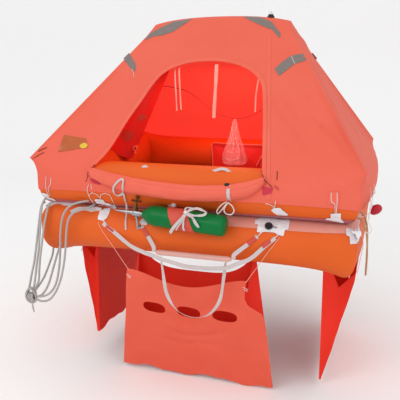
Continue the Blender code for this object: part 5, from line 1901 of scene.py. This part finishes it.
class Inflation(Assembly):
    """The gas cylinder, its fittings and the topping-up valves."""

    left = Vector((-0.245, -0.8135, 0.235))
    right = Vector((0.262, -0.8330, 0.206))
    radius = 0.060

    def build(self) -> bpy.types.Object:
        """Make the pieces.

        Returns:
            The cylinder.
        """
        axis = (self.right - self.left).normalized()
        length = (self.right - self.left).length
        shoulder = [(0.080 * k / 16, 0.020 + 0.040 * math.sin(math.pi / 2 * k / 16)) for k in range(17)]
        heel = [(length - 0.026 + 0.026 * math.sin(k), 0.034 + 0.026 * math.cos(k))
                for k in (math.pi / 2 * n / 8 for n in range(9))]
        profile = shoulder + [(0.100, self.radius), (0.2, self.radius), (length - 0.05, self.radius)] + heel
        cylinder = self.show(revolve("green_cylinder", self.left, axis, profile, Finishes.green, 64), Slot.GREEN,
                             "gas_cylinder")
        self.wrap(axis)
        neck = self.left - axis * HULL.gap
        self.valve(neck, axis)
        self.pipes(neck - axis * 0.040)
        return cylinder

    def wrap(self, axis: Vector) -> None:
        """The cloth band round the cylinder and the tape bow that ties it.

        Args:
            axis: The cylinder's axis.
        """
        start = self.left + axis * 0.185
        first, second = carried_frames([start, start + axis])[0]
        grids = ([], [])
        for i in range(13):
            for grid, lift in zip(grids, (0.0042, 0.0010)):
                row = []
                for k in range(64):
                    turn = 2 * math.pi * k / 64
                    out = first * math.cos(turn) + second * math.sin(turn)
                    slant = 0.030 * (-out.z - out.y * 0.4)
                    along = 0.122 * i / 12 + slant + 0.003 * wrinkle(out, 3.0)
                    row.append(start + axis * along + out * (self.radius + lift + 0.0012 * wrinkle(
                        Vector((turn, along * 30, 0)), 2.0)))
                grid.append(row)
        self.show(skin("cylinder_wrap_cloth", grids[0], grids[1], [Finishes.salmon], closed=True), Slot.POCKET,
                  "cylinder_band")
        y = -0.902
        loops = {
            "bow_loop_right": (((0.055, 0.289), (0.084, 0.308), (0.115, 0.313), (0.145, 0.308), (0.165, 0.295),
                                (0.150, 0.279), (0.104, 0.274), (0.073, 0.277), (0.055, 0.285)), 0.014),
            "bow_loop_top": (((0.050, 0.291), (0.047, 0.306), (0.056, 0.314), (0.079, 0.315), (0.097, 0.311),
                              (0.084, 0.303), (0.058, 0.291)), 0.009),
            "bow_tail_left": (((0.050, 0.281), (0.032, 0.257), (0.005, 0.229), (-0.022, 0.196), (-0.048, 0.160)),
                              0.018),
            "bow_tail_second": (((0.048, 0.276), (0.035, 0.251), (0.019, 0.224), (0.003, 0.202), (-0.012, 0.178)),
                                0.008),
            "bow_tail_middle": (((0.046, 0.282), (0.039, 0.255), (0.033, 0.225), (0.033, 0.199), (0.037, 0.179)),
                                0.011),
            "bow_tail_right": (((0.056, 0.284), (0.072, 0.272), (0.088, 0.257), (0.106, 0.234), (0.122, 0.206)),
                               0.017),
        }
        for name, (places, width) in loops.items():
            path = smooth_path([(x, y - 0.004 * math.sin(2.4 * k) + 0.9 * max(0.235 - z, 0.0) * 0.12, z)
                                for k, (x, z) in enumerate(places)], 0.004)
            looks = [(FORWARD + Vector((0.25 * math.sin(k * 0.4), 0, 0.55 * math.cos(k * 0.33)))).normalized()
                     for k in range(len(path))]
            self.show(strap(name, path, looks, width, 0.0014, Finishes.webbing), Slot.WEBBING)
        knot = [(0.0, 0.004), (0.004, 0.009), (0.012, 0.011), (0.020, 0.009), (0.024, 0.004)]
        self.show(revolve("bow_knot", Vector((0.038, y, 0.286)), Vector((1, 0, 0.2)), knot, Finishes.thread, 16),
                  Slot.WEBBING)

    def valve(self, neck: Vector, axis: Vector) -> None:
        """The valve head, its ribbed nut and the pull cable's sleeve.

        Args:
            neck: Where the head starts.
            axis: The cylinder's axis.
        """
        head = ((0.0, 0.015), (0.010, 0.015), (0.011, 0.0185), (0.014, 0.0205), (0.020, 0.021), (0.024, 0.0195),
                (0.026, 0.0195), (0.028, 0.021), (0.054, 0.021), (0.060, 0.019), (0.063, 0.015), (0.070, 0.015),
                (0.071, 0.0125), (0.078, 0.0125))
        self.show(revolve("valve_body", neck, -axis, head, Finishes.nickel, 48, 25), Slot.BRIGHT,
                  "cylinder_valve_head")
        sleeve = ((0.0, 0.010), (0.002, 0.0125), (0.010, 0.013), (0.013, 0.0110), (0.016, 0.0120), (0.040, 0.0098),
                  (0.062, 0.0080), (0.085, 0.0065), (0.090, 0.0050), (0.098, 0.0050))
        self.show(revolve("cable_sleeve", neck - axis * 0.0784, -axis, sleeve, Finishes.nickel, 32, 25),
                  Slot.BRIGHT, "pull_cable_sleeve")
        pull = [neck - axis * 0.172, neck - axis * 0.200 + Vector((0, 0.004, 0.004)), Vector((-0.470, -0.806, 0.262)),
                Vector((-0.500, -0.802, 0.268)), Vector((-0.540, -0.800, 0.262))]
        # The pull cable borrows the upper tape's painted-shade purple.
        self.tie("pull_cable", [pull], 0.005, Finishes.shaded_tape_purple)

    def pipes(self, centre: Vector) -> None:
        """The pipes from the valve to each tube, with nuts, flanges and a handle.

        Args:
            centre: The middle of the valve body.
        """
        for name, level, angle, finish in (("upper", 1, -19.0, Finishes.brass), ("lower", -1, -19.0, Finishes.nickel)):
            foot = HULL.at_real(FRONT, centre.x, angle, level, 0.001)
            outward = Vector((0, -math.cos(math.radians(angle)), level * math.sin(math.radians(angle))))
            up = UP * level
            start = centre + up * 0.0214
            bend = start + up * 0.024
            turned_in = foot + outward * 0.016
            path = smooth_path([start, start + up * 0.010, bend, bend.lerp(turned_in, 0.55), turned_in, foot], 0.003)
            pipe = self.cords.run(f"{name}_pipe", [path], finish, Radius=0.0065)
            self.show(pipe, finish.slot, f"{name}_inlet_elbow")
            self.show(revolve(f"{name}_pipe_nut", start - up * 0.002, up, ((0.0, 0.0105), (0.010, 0.0105),
                                                                          (0.012, 0.0085)), finish, 6, 20),
                      finish.slot)
            self.show(revolve(f"{name}_pipe_flange", foot, outward, ((0.0, 0.013), (0.004, 0.013), (0.006, 0.0105),
                                                                    (0.012, 0.0105), (0.013, 0.008)), finish, 24),
                      finish.slot)
        stem = Vector((-0.289, -0.830, 0.262))
        self.show(revolve("cock_stem", stem, Vector((0.013, 0, 0.052)), ((0.0, 0.0075), (0.020, 0.0065), (0.030, 0.0080),
                                                                         (0.044, 0.0055)), Finishes.brass, 20), Slot.BRASS)
        self.show(revolve("cock_handle", Vector((-0.306, -0.832, 0.318)), Vector((1, 0, -0.08)), (
            (0.0, 0.0035), (0.004, 0.0062), (0.028, 0.0048), (0.036, 0.0048), (0.058, 0.0062), (0.062, 0.0035)),
            Finishes.bronze, 16), Slot.BRASS)

    def topping_valves(self, surface: Surface) -> None:
        """The white and the black topping-up valve.

        Args:
            surface: The hull and its tape.
        """
        base = surface.over(Vector((-0.070, -0.8, 0.291)), FORWARD, 0.001)
        out = Vector((0, -0.85, -0.5)).normalized()
        self.show(revolve("white_valve_body", base, out, ((0.0, 0.0145), (0.005, 0.0145), (0.007, 0.011),
                                                          (0.013, 0.010), (0.015, 0.008)), Finishes.white, 32),
                  Slot.WHITE, "upper_topping_valve")
        foot = HULL.at_real(FRONT, 0.487, -46.0, -1, 0.004)
        out = Vector((0, -math.cos(math.radians(46)), math.sin(math.radians(46))))
        rings = ((0.0, 0.013), (0.004, 0.013), (0.005, 0.0205), (0.007, 0.022), (0.014, 0.022), (0.0165, 0.0205),
                 (0.018, 0.016), (0.0165, 0.0125), (0.0165, 0.008), (0.019, 0.0065))
        self.show(revolve("black_valve_body", foot, out, rings, Finishes.black, 40, 25), Slot.BLACK,
                  "lower_topping_valve")
        tether = [foot + out * 0.012 + Vector((0.021, 0, 0)), foot + out * 0.018 + Vector((0.034, 0, -0.008)),
                  foot + out * 0.010 + Vector((0.044, 0, -0.004))]
        self.tie("black_valve_tether", [tether], 0.004, Finishes.black)


# White patches and cords on the hull


class HullPatches(Assembly):
    """White patches that hold the cords, and the cords between patches and canopy."""

    def build(self, surface: Surface) -> None:
        """Make the pieces.

        Args:
            surface: The tubes, tape, canopy and roll.
        """
        tee = ((-0.5, 0.5), (0.5, 0.5), (0.5, 0.02), (0.27, -0.02), (0.25, -0.5), (-0.22, -0.5), (-0.26, -0.02),
               (-0.5, 0.02))
        patches = {
            "patch_corner_left": ((-0.952, 0.303), (-0.932, 0.310), (-0.901, 0.301), (-0.900, 0.278), (-0.859, 0.266),
                                  (-0.863, 0.255), (-0.926, 0.268), (-0.947, 0.281)),
            "patch_tie_left": ((-0.581, 0.285), (-0.565, 0.297), (-0.521, 0.294), (-0.516, 0.273), (-0.463, 0.252),
                               (-0.467, 0.226), (-0.509, 0.232), (-0.555, 0.259), (-0.576, 0.263)),
            "patch_ladder_left": ((-0.562, 0.213), (-0.535, 0.226), (-0.499, 0.226), (-0.493, 0.207), (-0.498, 0.182),
                                  (-0.517, 0.164), (-0.558, 0.169), (-0.559, 0.194)),
            "patch_strap_left": ((-0.283, 0.169), (-0.276, 0.192), (-0.259, 0.206), (-0.240, 0.190), (-0.232, 0.162),
                                 (-0.260, 0.160)),
            "patch_tie_right": ((0.500, 0.303), (0.514, 0.318), (0.553, 0.324), (0.565, 0.308), (0.592, 0.285),
                                (0.589, 0.274), (0.536, 0.272), (0.517, 0.286)),
            "patch_ladder_right": ((0.403, 0.227), (0.437, 0.236), (0.595, 0.238), (0.598, 0.198), (0.578, 0.193),
                                   (0.574, 0.163), (0.544, 0.167), (0.521, 0.177), (0.464, 0.177), (0.448, 0.171),
                                   (0.424, 0.173), (0.424, 0.210), (0.405, 0.210)),
            "patch_line_right": ((0.820, 0.308), (0.873, 0.313), (0.872, 0.278), (0.891, 0.258), (0.883, 0.249),
                                 (0.792, 0.269), (0.801, 0.275), (0.820, 0.280)),
            "patch_corner_right": ((0.902, 0.222), (0.982, 0.232), (0.985, 0.209), (0.971, 0.194), (0.974, 0.157),
                                   (0.965, 0.150), (0.929, 0.148), (0.923, 0.185), (0.905, 0.192)),
            "patch_valve": ((-0.108, 0.292), (-0.061, 0.295), (-0.052, 0.276), (-0.102, 0.268)),
        }
        for name, corners in patches.items():
            outline = [Vector((x, -0.8, z)) for x, z in corners]
            self.show(drape(name, outline, surface, Finishes.patch, lift=0.0022, thickness=0.0016, spacing=0.006,
                            crumple=0.0045, direction=FORWARD), Slot.WHITE)
        self.hidden(surface, tee)
        self.cords_between(surface)

    def hidden(self, surface: Surface, shape: Sequence[tuple[float, float]]) -> None:
        """The same kind of patch on the sides and the back.

        Args:
            surface: The hull.
            shape: The patch's outline.
        """
        spots = (("back_left", BACK, -0.55), ("back_middle", BACK, 0.0), ("back_right", BACK, 0.55),
                 ("side_right_near", RIGHT, -0.25), ("side_right_far", RIGHT, 0.30),
                 ("side_left_near", LEFT, 0.25), ("side_left_far", LEFT, -0.30))
        for name, side, place in spots:
            centre = side.along * place + side.outward * (side.distance + 0.12) + UP * 0.270
            outline = [centre + side.along * (a * 0.10) + UP * (b * 0.075) for a, b in shape]
            self.show(drape("patch_" + name, outline, surface, Finishes.patch, lift=0.0016, thickness=0.0016,
                            spacing=0.008, crumple=0.0035, direction=side.outward), Slot.WHITE)
            hem = HULL.point(side, place, -8.0, 1, 0.012)
            if abs(side.outward.x) > 0.5:
                hem += side.outward * 0.028
            foot = surface.over(centre, side.outward, 0.004)
            lines = [[hem + side.along * d + UP * 0.012, hem + side.along * d * 0.8 - UP * 0.02,
                      foot + side.along * d * 0.6 + side.outward * 0.004] for d in (-0.012, 0.012)]
            self.tie("tie_" + name, lines)

    def cords_between(self, surface: Surface) -> None:
        """The cords that tie the canopy's hem down and the cords on the ladder's patches.

        Args:
            surface: The tubes, tape, canopy and roll.
        """
        routes = {
            "tie_loops_left": (((-0.596, 0.387), (-0.607, 0.354), (-0.606, 0.310), (-0.602, 0.272), (-0.601, 0.239)),
                               ((-0.581, 0.388), (-0.581, 0.339), (-0.599, 0.324), (-0.605, 0.305), (-0.600, 0.272)),
                               ((-0.581, 0.339), (-0.552, 0.327), (-0.535, 0.305)),
                               ((-0.535, 0.300), (-0.522, 0.329), (-0.487, 0.337), (-0.464, 0.328), (-0.458, 0.298),
                                (-0.461, 0.255))),
            "tie_corner_left": (((-0.899, 0.290), (-0.899, 0.348), (-0.894, 0.416)),
                                ((-0.890, 0.290), (-0.881, 0.345), (-0.863, 0.370), (-0.857, 0.416))),
            "tie_right": (((0.472, 0.344), (0.495, 0.339), (0.512, 0.330), (0.520, 0.312)),
                          ((0.528, 0.364), (0.527, 0.345), (0.522, 0.326), (0.524, 0.308))),
            "tie_line_right": (((0.843, 0.295), (0.842, 0.330), (0.840, 0.363), (0.822, 0.378), (0.818, 0.424)),
                               ((0.849, 0.295), (0.850, 0.340), (0.851, 0.370), (0.848, 0.426))),
            "tie_right_corner": (((1.009, 0.430), (1.013, 0.395), (1.016, 0.340), (1.010, 0.300)),
                                 ((1.026, 0.430), (1.026, 0.390), (1.020, 0.340), (1.018, 0.300))),
        }
        for name, lines in routes.items():
            self.tie(name, [surface.front(line, 0.004) for line in lines], 0.0036)
        ladder = (((-0.520, 0.165), (-0.508, 0.158), (-0.494, 0.148)), ((-0.275, 0.170), (-0.268, 0.160), (-0.258, 0.148)),
                  ((0.452, 0.172), (0.438, 0.158), (0.427, 0.144)), ((0.547, 0.168), (0.528, 0.150), (0.509, 0.134)))
        self.tie("ladder_cords", [surface.front(line, 0.005) for line in ladder], 0.0055)
        flats = {"corner_webbing": (((-0.930, 0.209), (-0.913, 0.226), (-0.862, 0.240), (-0.786, 0.242),
                                     (-0.750, 0.236)), 0.030),
                 "patch_webbing": (((-0.747, 0.192), (-0.708, 0.209), (-0.647, 0.214), (-0.600, 0.216),
                                    (-0.550, 0.214)), 0.034)}
        for name, (places, width) in flats.items():
            path = smooth_path([surface.over(Vector((x, -0.8, z)), FORWARD, 0.006) for x, z in places], 0.008)
            looks = [(FORWARD + Vector((0, 0, 0.2 + 0.45 * math.sin(k * 0.45)))).normalized()
                     for k in range(len(path))]
            self.show(strap(name, path, looks, width, 0.0016, Finishes.webbing), Slot.WEBBING)
        corner = ((1.030, 0.362), (1.024, 0.342), (1.015, 0.310), (1.016, 0.285), (1.012, 0.262), (1.024, 0.243),
                  (1.032, 0.217), (1.020, 0.199), (1.000, 0.207))
        view = (Studio.position - Vector((1.02, -0.72, 0.28))).normalized()
        self.tie("corner_cord_right", [[surface.over(Vector((x, -0.72, z)), view, 0.004) for x, z in corner]], 0.005)
        clear = [Vector((x, -0.8, z)) for x, z in ((0.806, 0.362), (0.862, 0.364), (0.860, 0.430), (0.809, 0.428))]
        self.show(drape("hem_reinforcement", clear, surface, Finishes.hem, lift=0.0016, direction=FORWARD), Slot.CANOPY)


# Boarding ladder


class Ladder(Assembly):
    """The padded rung on webbing, which swings out from the lower tube."""

    def place(self, x: float, z: float) -> Vector:
        """A point in the slanted plane that the straps hang in."""
        return Vector((x, -0.7870 - 0.3358 * (0.150 - z), z))

    def build(self) -> None:
        """Make the pieces."""
        face = Vector((0, -0.134, 0.045)).normalized()
        main = [self.place(x, z) for x, z in ((-0.520, 0.150), (-0.446, 0.110), (-0.333, 0.041), (-0.242, 0.010),
                                              (-0.180, -0.004), (-0.124, -0.019), (-0.052, -0.031), (0.030, -0.045),
                                              (0.111, -0.045), (0.190, -0.041), (0.262, -0.032), (0.300, -0.018),
                                              (0.350, 0.006), (0.385, 0.020), (0.420, 0.046), (0.471, 0.098),
                                              (0.530, 0.150))]
        self.webbing("ladder_strap_main", main, face, 0.0, Finishes.webbing, "ladder_main_strap", 0.7)
        left = [(-0.265, 0.150), (-0.2208, 0.100), (-0.1792, 0.045), (-0.1752, 0.020)]
        right = [(0.430, 0.150), (0.3739, 0.100), (0.3092, 0.045), (0.3052, 0.020)]
        self.webbing("ladder_strap_left", [self.place(*p) for p in left], face, 0.0, Finishes.webbing,
                     "ladder_inner_strap_left", 0.3)
        self.webbing("ladder_strap_right", [self.place(*p) for p in right], face, 0.0, Finishes.webbing,
                     "ladder_inner_strap_right", 0.3)
        self.foot_loop()
        self.sleeves(face)
        self.pad()

    def webbing(self, name: str, route: Sequence[Vector], face: Vector, shift: float, finish: Finish, node: str,
                twist: float) -> None:
        """One strap, which twists softly along its run.

        Args:
            name: The piece's name.
            route: Its route.
            face: The way its flat side looks.
            shift: How far it stands off that route.
            finish: Its finish.
            node: The frame's node that it stands for.
            twist: How far it twists.
        """
        path = [point + face * shift for point in smooth_path(route, 0.008)]
        across = Vector((1, 0, 0))
        looks = [(face + across * twist * 0.3 * math.sin(k * 0.12) + UP * twist * 0.5 * math.sin(k * 0.19)).normalized()
                 for k in range(len(path))]
        self.show(strap(name, path, looks, 0.024, 0.0022, finish), finish.slot, node, body=Body.LADDER)

    def foot_loop(self) -> None:
        """The loop below the rung, flat at its legs and on edge below."""
        route = [(-0.130, -0.0036), (-0.120, -0.094), (-0.096, -0.239), (-0.030, -0.334), (0.065, -0.362),
                 (0.160, -0.334), (0.226, -0.239), (0.250, -0.094), (0.260, -0.0036)]
        path = smooth_path([(x, -0.832, z) for x, z in route], 0.007)
        runs = directions(path)
        looks = []
        for k, run in enumerate(runs):
            share = k / (len(path) - 1)
            edge = max(smoothstep((share - 0.30) * 7) * smoothstep((0.70 - share) * 7),
                       smoothstep((0.08 - share) * 14), smoothstep((share - 0.92) * 14))
            radial = run.cross(FORWARD).normalized()
            turn = edge * math.radians(68) + 0.5 * math.sin(share * 21) * (1 - edge)
            looks.append((FORWARD * math.cos(turn) + radial * math.sin(turn)).normalized())
        self.show(strap("foot_loop", path, looks, 0.020, 0.0022, Finishes.webbing), Slot.WEBBING,
                  "ladder_foot_loop", body=Body.LADDER)

    def sleeves(self, face: Vector) -> None:
        """The red sleeves over the straps' upper ends.

        Args:
            face: The way the straps look.
        """
        for name, ends in (("outer_left", ((-0.497, 0.134), (-0.448, 0.104))), ("inner_left", ((-0.258, 0.142), (-0.222, 0.100))),
                           ("inner_right", ((0.421, 0.142), (0.380, 0.104))), ("outer_right", ((0.505, 0.132), (0.462, 0.098)))):
            a, b = (self.place(*end) for end in ends)
            path = [a.lerp(b, k / 12) + face * 0.0004 for k in range(13)]
            self.show(strap(f"sleeve_{name}", path, face, 0.026, 0.0065, Finishes.webbing_red), Slot.POCKET,
                      body=Body.LADDER)

    def pad(self) -> None:
        """The rung's stuffed sleeve, blown up by a cloth simulation."""
        count, length = 92, 0.460
        rings = []
        for k in range(count + 1):
            share = k / count
            end = min(share, 1 - share) * count
            radius = 0.0158 * min(1.0, 0.45 + 0.14 * end)
            rings.append([Vector((-0.165 + length * share, -0.832 - radius * math.cos(turn), 0.016 + radius * math.sin(turn)))
                          for turn in (2 * math.pi * n / 24 for n in range(24))])
        pad = loft("rung_pad", rings, Finishes.pad, sharp=80.0)
        remesh = pad.modifiers.new("remesh", "REMESH")
        remesh.mode = "VOXEL"
        remesh.voxel_size = 0.0045
        self.apply(pad)
        self.inflate(pad)
        finer = pad.modifiers.new("finer", "SUBSURF")
        finer.levels = finer.render_levels = 1
        self.apply(pad)
        pad.data.shade_smooth()
        self.show(pad, Slot.PAD, "ladder_rung", body=Body.LADDER)

    def inflate(self, pad: bpy.types.Object) -> None:
        """Blow the sleeve up against its held ends.

        Args:
            pad: The sleeve.
        """
        held = pad.vertex_groups.new(name="held")
        held.add([v.index for v in pad.data.vertices if min(v.co.x + 0.165, 0.295 - v.co.x) < 0.010], 1.0, "REPLACE")
        cloth = pad.modifiers.new("cloth", "CLOTH")
        cloth.settings.vertex_group_mass = "held"
        cloth.settings.use_pressure = True
        cloth.settings.uniform_pressure_force = 4.0
        cloth.settings.effector_weights.gravity = 0.0
        cloth.settings.tension_stiffness = 25
        cloth.settings.bending_stiffness = 0.8
        cloth.point_cache.frame_start = 1
        cloth.point_cache.frame_end = 20
        scene = bpy.context.scene
        for number in range(1, 21):
            scene.frame_set(number)
        self.apply(pad)
        scene.frame_set(1)

    def apply(self, piece: bpy.types.Object) -> None:
        """Make the piece's modifiers final."""
        graph = bpy.context.evaluated_depsgraph_get()
        mesh = bpy.data.meshes.new_from_object(piece.evaluated_get(graph), depsgraph=graph)
        piece.modifiers.clear()
        piece.data = mesh


# Ropes


class Ropes(Assembly):
    """The stowed mooring rope, the grab line and the rescue float."""

    knot = Vector((-0.997, -0.872, -0.338))
    thickness = 0.014
    routes = {
        "mooring_rope_corner": ((-0.9258, -0.7522, 0.2727), (-0.926, -0.778, 0.262), (-0.927, -0.800, 0.235),
                                (-0.928, -0.814, 0.190), (-0.932, -0.824, 0.120), (-0.938, -0.832, 0.050),
                                (-0.944, -0.838, -0.020), (-0.952, -0.844, -0.080), (-0.961, -0.850, -0.135),
                                (-0.969, -0.857, -0.200), (-0.976, -0.864, -0.255), (-0.985, -0.8695, -0.3000)),
        "mooring_rope_outer": ((-0.6200, -0.7692, 0.2794), (-0.650, -0.790, 0.276), (-0.690, -0.806, 0.266),
                               (-0.730, -0.817, 0.244), (-0.762, -0.825, 0.200), (-0.779, -0.830, 0.140),
                               (-0.787, -0.834, 0.080), (-0.791, -0.837, 0.010), (-0.798, -0.840, -0.080),
                               (-0.807, -0.844, -0.150), (-0.822, -0.849, -0.222), (-0.846, -0.855, -0.280),
                               (-0.884, -0.862, -0.322), (-0.930, -0.868, -0.340), (-0.972, -0.8717, -0.342)),
        "mooring_rope_inner": ((-0.5985, -0.7335, 0.2501), (-0.612, -0.766, 0.241), (-0.640, -0.800, 0.232),
                               (-0.676, -0.822, 0.221), (-0.708, -0.835, 0.198), (-0.728, -0.842, 0.155),
                               (-0.738, -0.846, 0.095), (-0.744, -0.850, 0.025), (-0.753, -0.853, -0.050),
                               (-0.767, -0.857, -0.130), (-0.789, -0.862, -0.215), (-0.824, -0.868, -0.295),
                               (-0.868, -0.873, -0.350), (-0.920, -0.874, -0.368), (-0.972, -0.872, -0.360)),
        "mooring_rope_third": ((-0.930, -0.762, 0.250), (-0.934, -0.798, 0.228), (-0.945, -0.822, 0.120),
                               (-0.961, -0.834, 0.005), (-0.980, -0.844, -0.115), (-1.000, -0.852, -0.200),
                               (-1.015, -0.858, -0.268), (-1.026, -0.866, -0.320)),
        "mooring_rope_fourth": ((-0.900, -0.765, 0.235), (-0.898, -0.798, 0.195), (-0.908, -0.824, 0.105),
                                (-0.921, -0.836, 0.008), (-0.935, -0.846, -0.090), (-0.943, -0.853, -0.170),
                                (-0.948, -0.860, -0.240), (-0.974, -0.868, -0.296)),
        "mooring_rope_fifth": ((-0.923, -0.700, -0.020), (-0.931, -0.706, -0.100), (-0.945, -0.722, -0.157),
                               (-0.971, -0.765, -0.253), (-0.996, -0.815, -0.312), (-1.010, -0.852, -0.334)),
        "mooring_rope_sixth": ((-0.838, -0.740, -0.010), (-0.850, -0.770, -0.060), (-0.868, -0.805, -0.155),
                               (-0.892, -0.838, -0.262), (-0.926, -0.856, -0.325), (-0.968, -0.866, -0.350)),
        "grab_line_right": ((0.9560, -0.6933, 0.2741), (0.978, -0.700, 0.262), (0.996, -0.706, 0.235),
                            (1.008, -0.708, 0.190), (1.015, -0.706, 0.130), (1.018, -0.700, 0.065),
                            (1.018, -0.688, 0.005), (1.017, -0.666, -0.045), (1.016, -0.636, -0.064),
                            (1.015, -0.606, -0.045), (1.015, -0.584, 0.005), (1.014, -0.571, 0.070),
                            (1.012, -0.563, 0.135), (1.006, -0.559, 0.195), (0.994, -0.559, 0.240),
                            (0.980, -0.562, 0.264), (0.9616, -0.5650, 0.2790)),
    }

    def build(self) -> None:
        """Make the pieces."""
        knot = self.knot_piece()
        for name, route in self.routes.items():
            grab = name == "grab_line_right"
            diameter, finish = (0.010, Finishes.grab) if grab else (self.thickness, Finishes.rope)
            path = smooth_path(route, 0.005)
            nodes = [name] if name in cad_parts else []
            piece = self.show(laid_rope(name + "_rope", path, diameter, finish), Slot.WEBBING, *nodes)
            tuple(path[0])
            run_length(path)
        start = self.knot + Vector((0.002, 0, -0.026))
        path = smooth_path([start, start + Vector((-0.002, 0, -0.045)), start + Vector((0.006, 0, -0.088))], 0.004)
        tail = self.show(laid_rope("mooring_rope_end", path, 0.010, Finishes.rope, taper=0.7), Slot.WEBBING,
                         "mooring_rope_tail")
        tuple(path[0])
        run_length(path)
        self.float_and_lanyard()

    def knot_piece(self) -> bpy.types.Object:
        """The knot: a loop of the rope, then three turns round it.

        Returns:
            The piece.
        """
        points = []
        for k in range(70):
            turn = 3.2 * math.pi * k / 69
            points.append(self.knot + Vector((0.032 * math.cos(turn), -0.006 + 0.010 * math.sin(1.5 * turn),
                                              0.050 * math.sin(turn))))
        for k in range(90):
            turn = 6 * math.pi * k / 89
            points.append(self.knot + Vector((-0.020 + 0.040 * k / 89, 0.020 * math.cos(turn),
                                              0.022 * math.sin(turn) - 0.008)))
        piece = laid_rope("mooring_knot", smooth_path(even_path(points, 0.012), 0.005), self.thickness,
                          Finishes.rope)
        return self.show(piece, Slot.WEBBING, "mooring_rope_knot")

    def float_and_lanyard(self) -> None:
        """The red float at the right front corner."""
        centre = Vector((1.046, -0.660, 0.318))
        way = Vector((0.55, -0.20, 0.42)).normalized()
        profile = [(0.036 - 0.036 * math.cos(k), 0.0255 * math.sin(k) ** 0.8 + 0.0003)
                   for k in (math.pi * n / 20 for n in range(21))]
        self.show(revolve("float_body", centre - way * 0.036, way, profile, Finishes.foam, 36), Slot.FOAM,
                  "rescue_float")
        low = centre - way * 0.0364
        route = [(0.9568, -0.6559, 0.2751), (0.968, -0.654, 0.271), (0.985, -0.650, 0.272), (1.003, -0.648, 0.284),
                 tuple(low)]
        path = smooth_path(route, 0.004)
        piece = self.cords.run("float_line", [path], Finishes.thread, Radius=0.002)
        self.show(piece, Slot.WEBBING, "float_lanyard")
        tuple(path[0])
        run_length(path)


# Camera, lights and floor


class Studio:
    """The camera at the photo's place, soft lights and a pale floor."""

    position = Vector((1.04856, -3.79032, 1.05946))
    azimuth = 17.6
    pitch = 12.94
    roll = -0.16
    focal_share = 572 / 400
    floor_z = -0.892

    def camera(self) -> None:
        """Place the camera."""
        data = bpy.data.cameras.new("camera")
        data.sensor_width = 36.0
        data.lens = 36.0 * self.focal_share
        camera = bpy.data.objects.new("camera", data)
        bpy.context.scene.collection.objects.link(camera)
        turn, down = math.radians(self.azimuth), math.radians(self.pitch)
        look = Vector((-math.sin(turn) * math.cos(down), math.cos(turn) * math.cos(down), -math.sin(down)))
        right = Vector((math.cos(turn), math.sin(turn), 0))
        up = right.cross(look)
        lean = math.radians(self.roll)
        right, up = right * math.cos(lean) + up * math.sin(lean), up * math.cos(lean) - right * math.sin(lean)
        rows = Matrix((right, up, -look)).transposed()
        camera.matrix_world = Matrix.Translation(self.position) @ rows.to_4x4()
        bpy.context.scene.camera = camera

    def light(self, name: str, place: tuple[float, float, float], target: tuple[float, float, float],
              size: float, power: float, colour: Colour = (1.0, 1.0, 1.0)) -> None:
        """One soft area light.

        Args:
            name: Its name.
            place: Where it stands.
            target: Where it points.
            size: Its width.
            power: Its power in watts.
            colour: Its colour.
        """
        data = bpy.data.lights.new(name, "AREA")
        data.energy, data.size, data.color = power, size, colour
        lamp = bpy.data.objects.new(name, data)
        lamp.location = place
        lamp.rotation_euler = (Vector(target) - Vector(place)).to_track_quat("-Z", "Y").to_euler()
        bpy.context.scene.collection.objects.link(lamp)

    def floor(self) -> None:
        """A pale floor that curves up into a backdrop."""
        profile = [(-9.0, 0.0), (5.5, 0.0)]
        profile += [(5.5 + 2.5 * math.sin(k), 2.5 - 2.5 * math.cos(k)) for k in (math.pi / 2 * n / 16 for n in range(1, 17))]
        profile.append((8.0, 9.0))
        points = [Vector((x, y, z + self.floor_z)) for y, z in profile for x in (-11.0, 11.0)]
        faces = [(2 * k, 2 * k + 1, 2 * k + 3, 2 * k + 2) for k in range(len(profile) - 1)]
        mesh = bpy.data.meshes.new("studio_floor")
        mesh.from_pydata([tuple(point) for point in points], [], faces)
        mesh.shade_smooth()
        graph = Graph("studio_floor")
        graph.set(Base_Color=(0.90, 0.90, 0.90), Roughness=0.9, Specular_IOR_Level=0.1)
        mesh.materials.append(graph.material)
        floor = bpy.data.objects.new("studio_floor", mesh)
        bpy.context.scene.collection.objects.link(floor)

    def build(self) -> None:
        """Light the scene."""
        scene = bpy.context.scene
        scene.view_settings.view_transform = "Standard"
        world = bpy.data.worlds.new("studio")
        world.use_nodes = True
        world.node_tree.nodes["Background"].inputs["Color"].default_value = (1.0, 1.0, 1.0, 1.0)
        world.node_tree.nodes["Background"].inputs["Strength"].default_value = 1.0
        scene.world = world
        self.light("key", (-2.2, -4.6, 3.4), (0, 0, 0.3), 3.0, 60.0)
        self.light("fill", (3.6, -3.4, 1.4), (0.3, 0, 0.2), 2.5, 20.0)
        self.light("inside", (0.0, 0.0, 1.02), (0.0, 0.15, 0.2), 0.3, 5.0, (1.0, 0.35, 0.26))
        self.floor()


def main() -> None:
    """Build every piece of the looks."""
    logging.basicConfig(level=logging.INFO, format="%(name)s %(message)s")
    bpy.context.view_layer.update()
    studio = Studio()
    studio.camera()
    tools = (CordTool(), StitchTool())
    Ropes(*tools).build()
    tubes = Hull(*tools).build()
    shape = CanopyShape(CanopySize())
    canopy = Canopy(*tools).build(shape)
    curtain = DoorCurtain(*tools)
    roll = curtain.build()
    Interior(*tools).build(shape, Surface(tubes))
    inflation = Inflation(*tools)
    cylinder = inflation.build()
    outside = Surface([*tubes, canopy, roll])
    curtain.closures(outside)
    inflation.topping_valves(outside)
    HullPatches(*tools).build(outside)
    BallastPockets(*tools).build()
    Ladder(*tools).build()
    studio.build()
    LOG.info("cylinder has %d vertices", len(cylinder.data.vertices))
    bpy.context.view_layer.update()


if __name__ == "__main__":
    main()
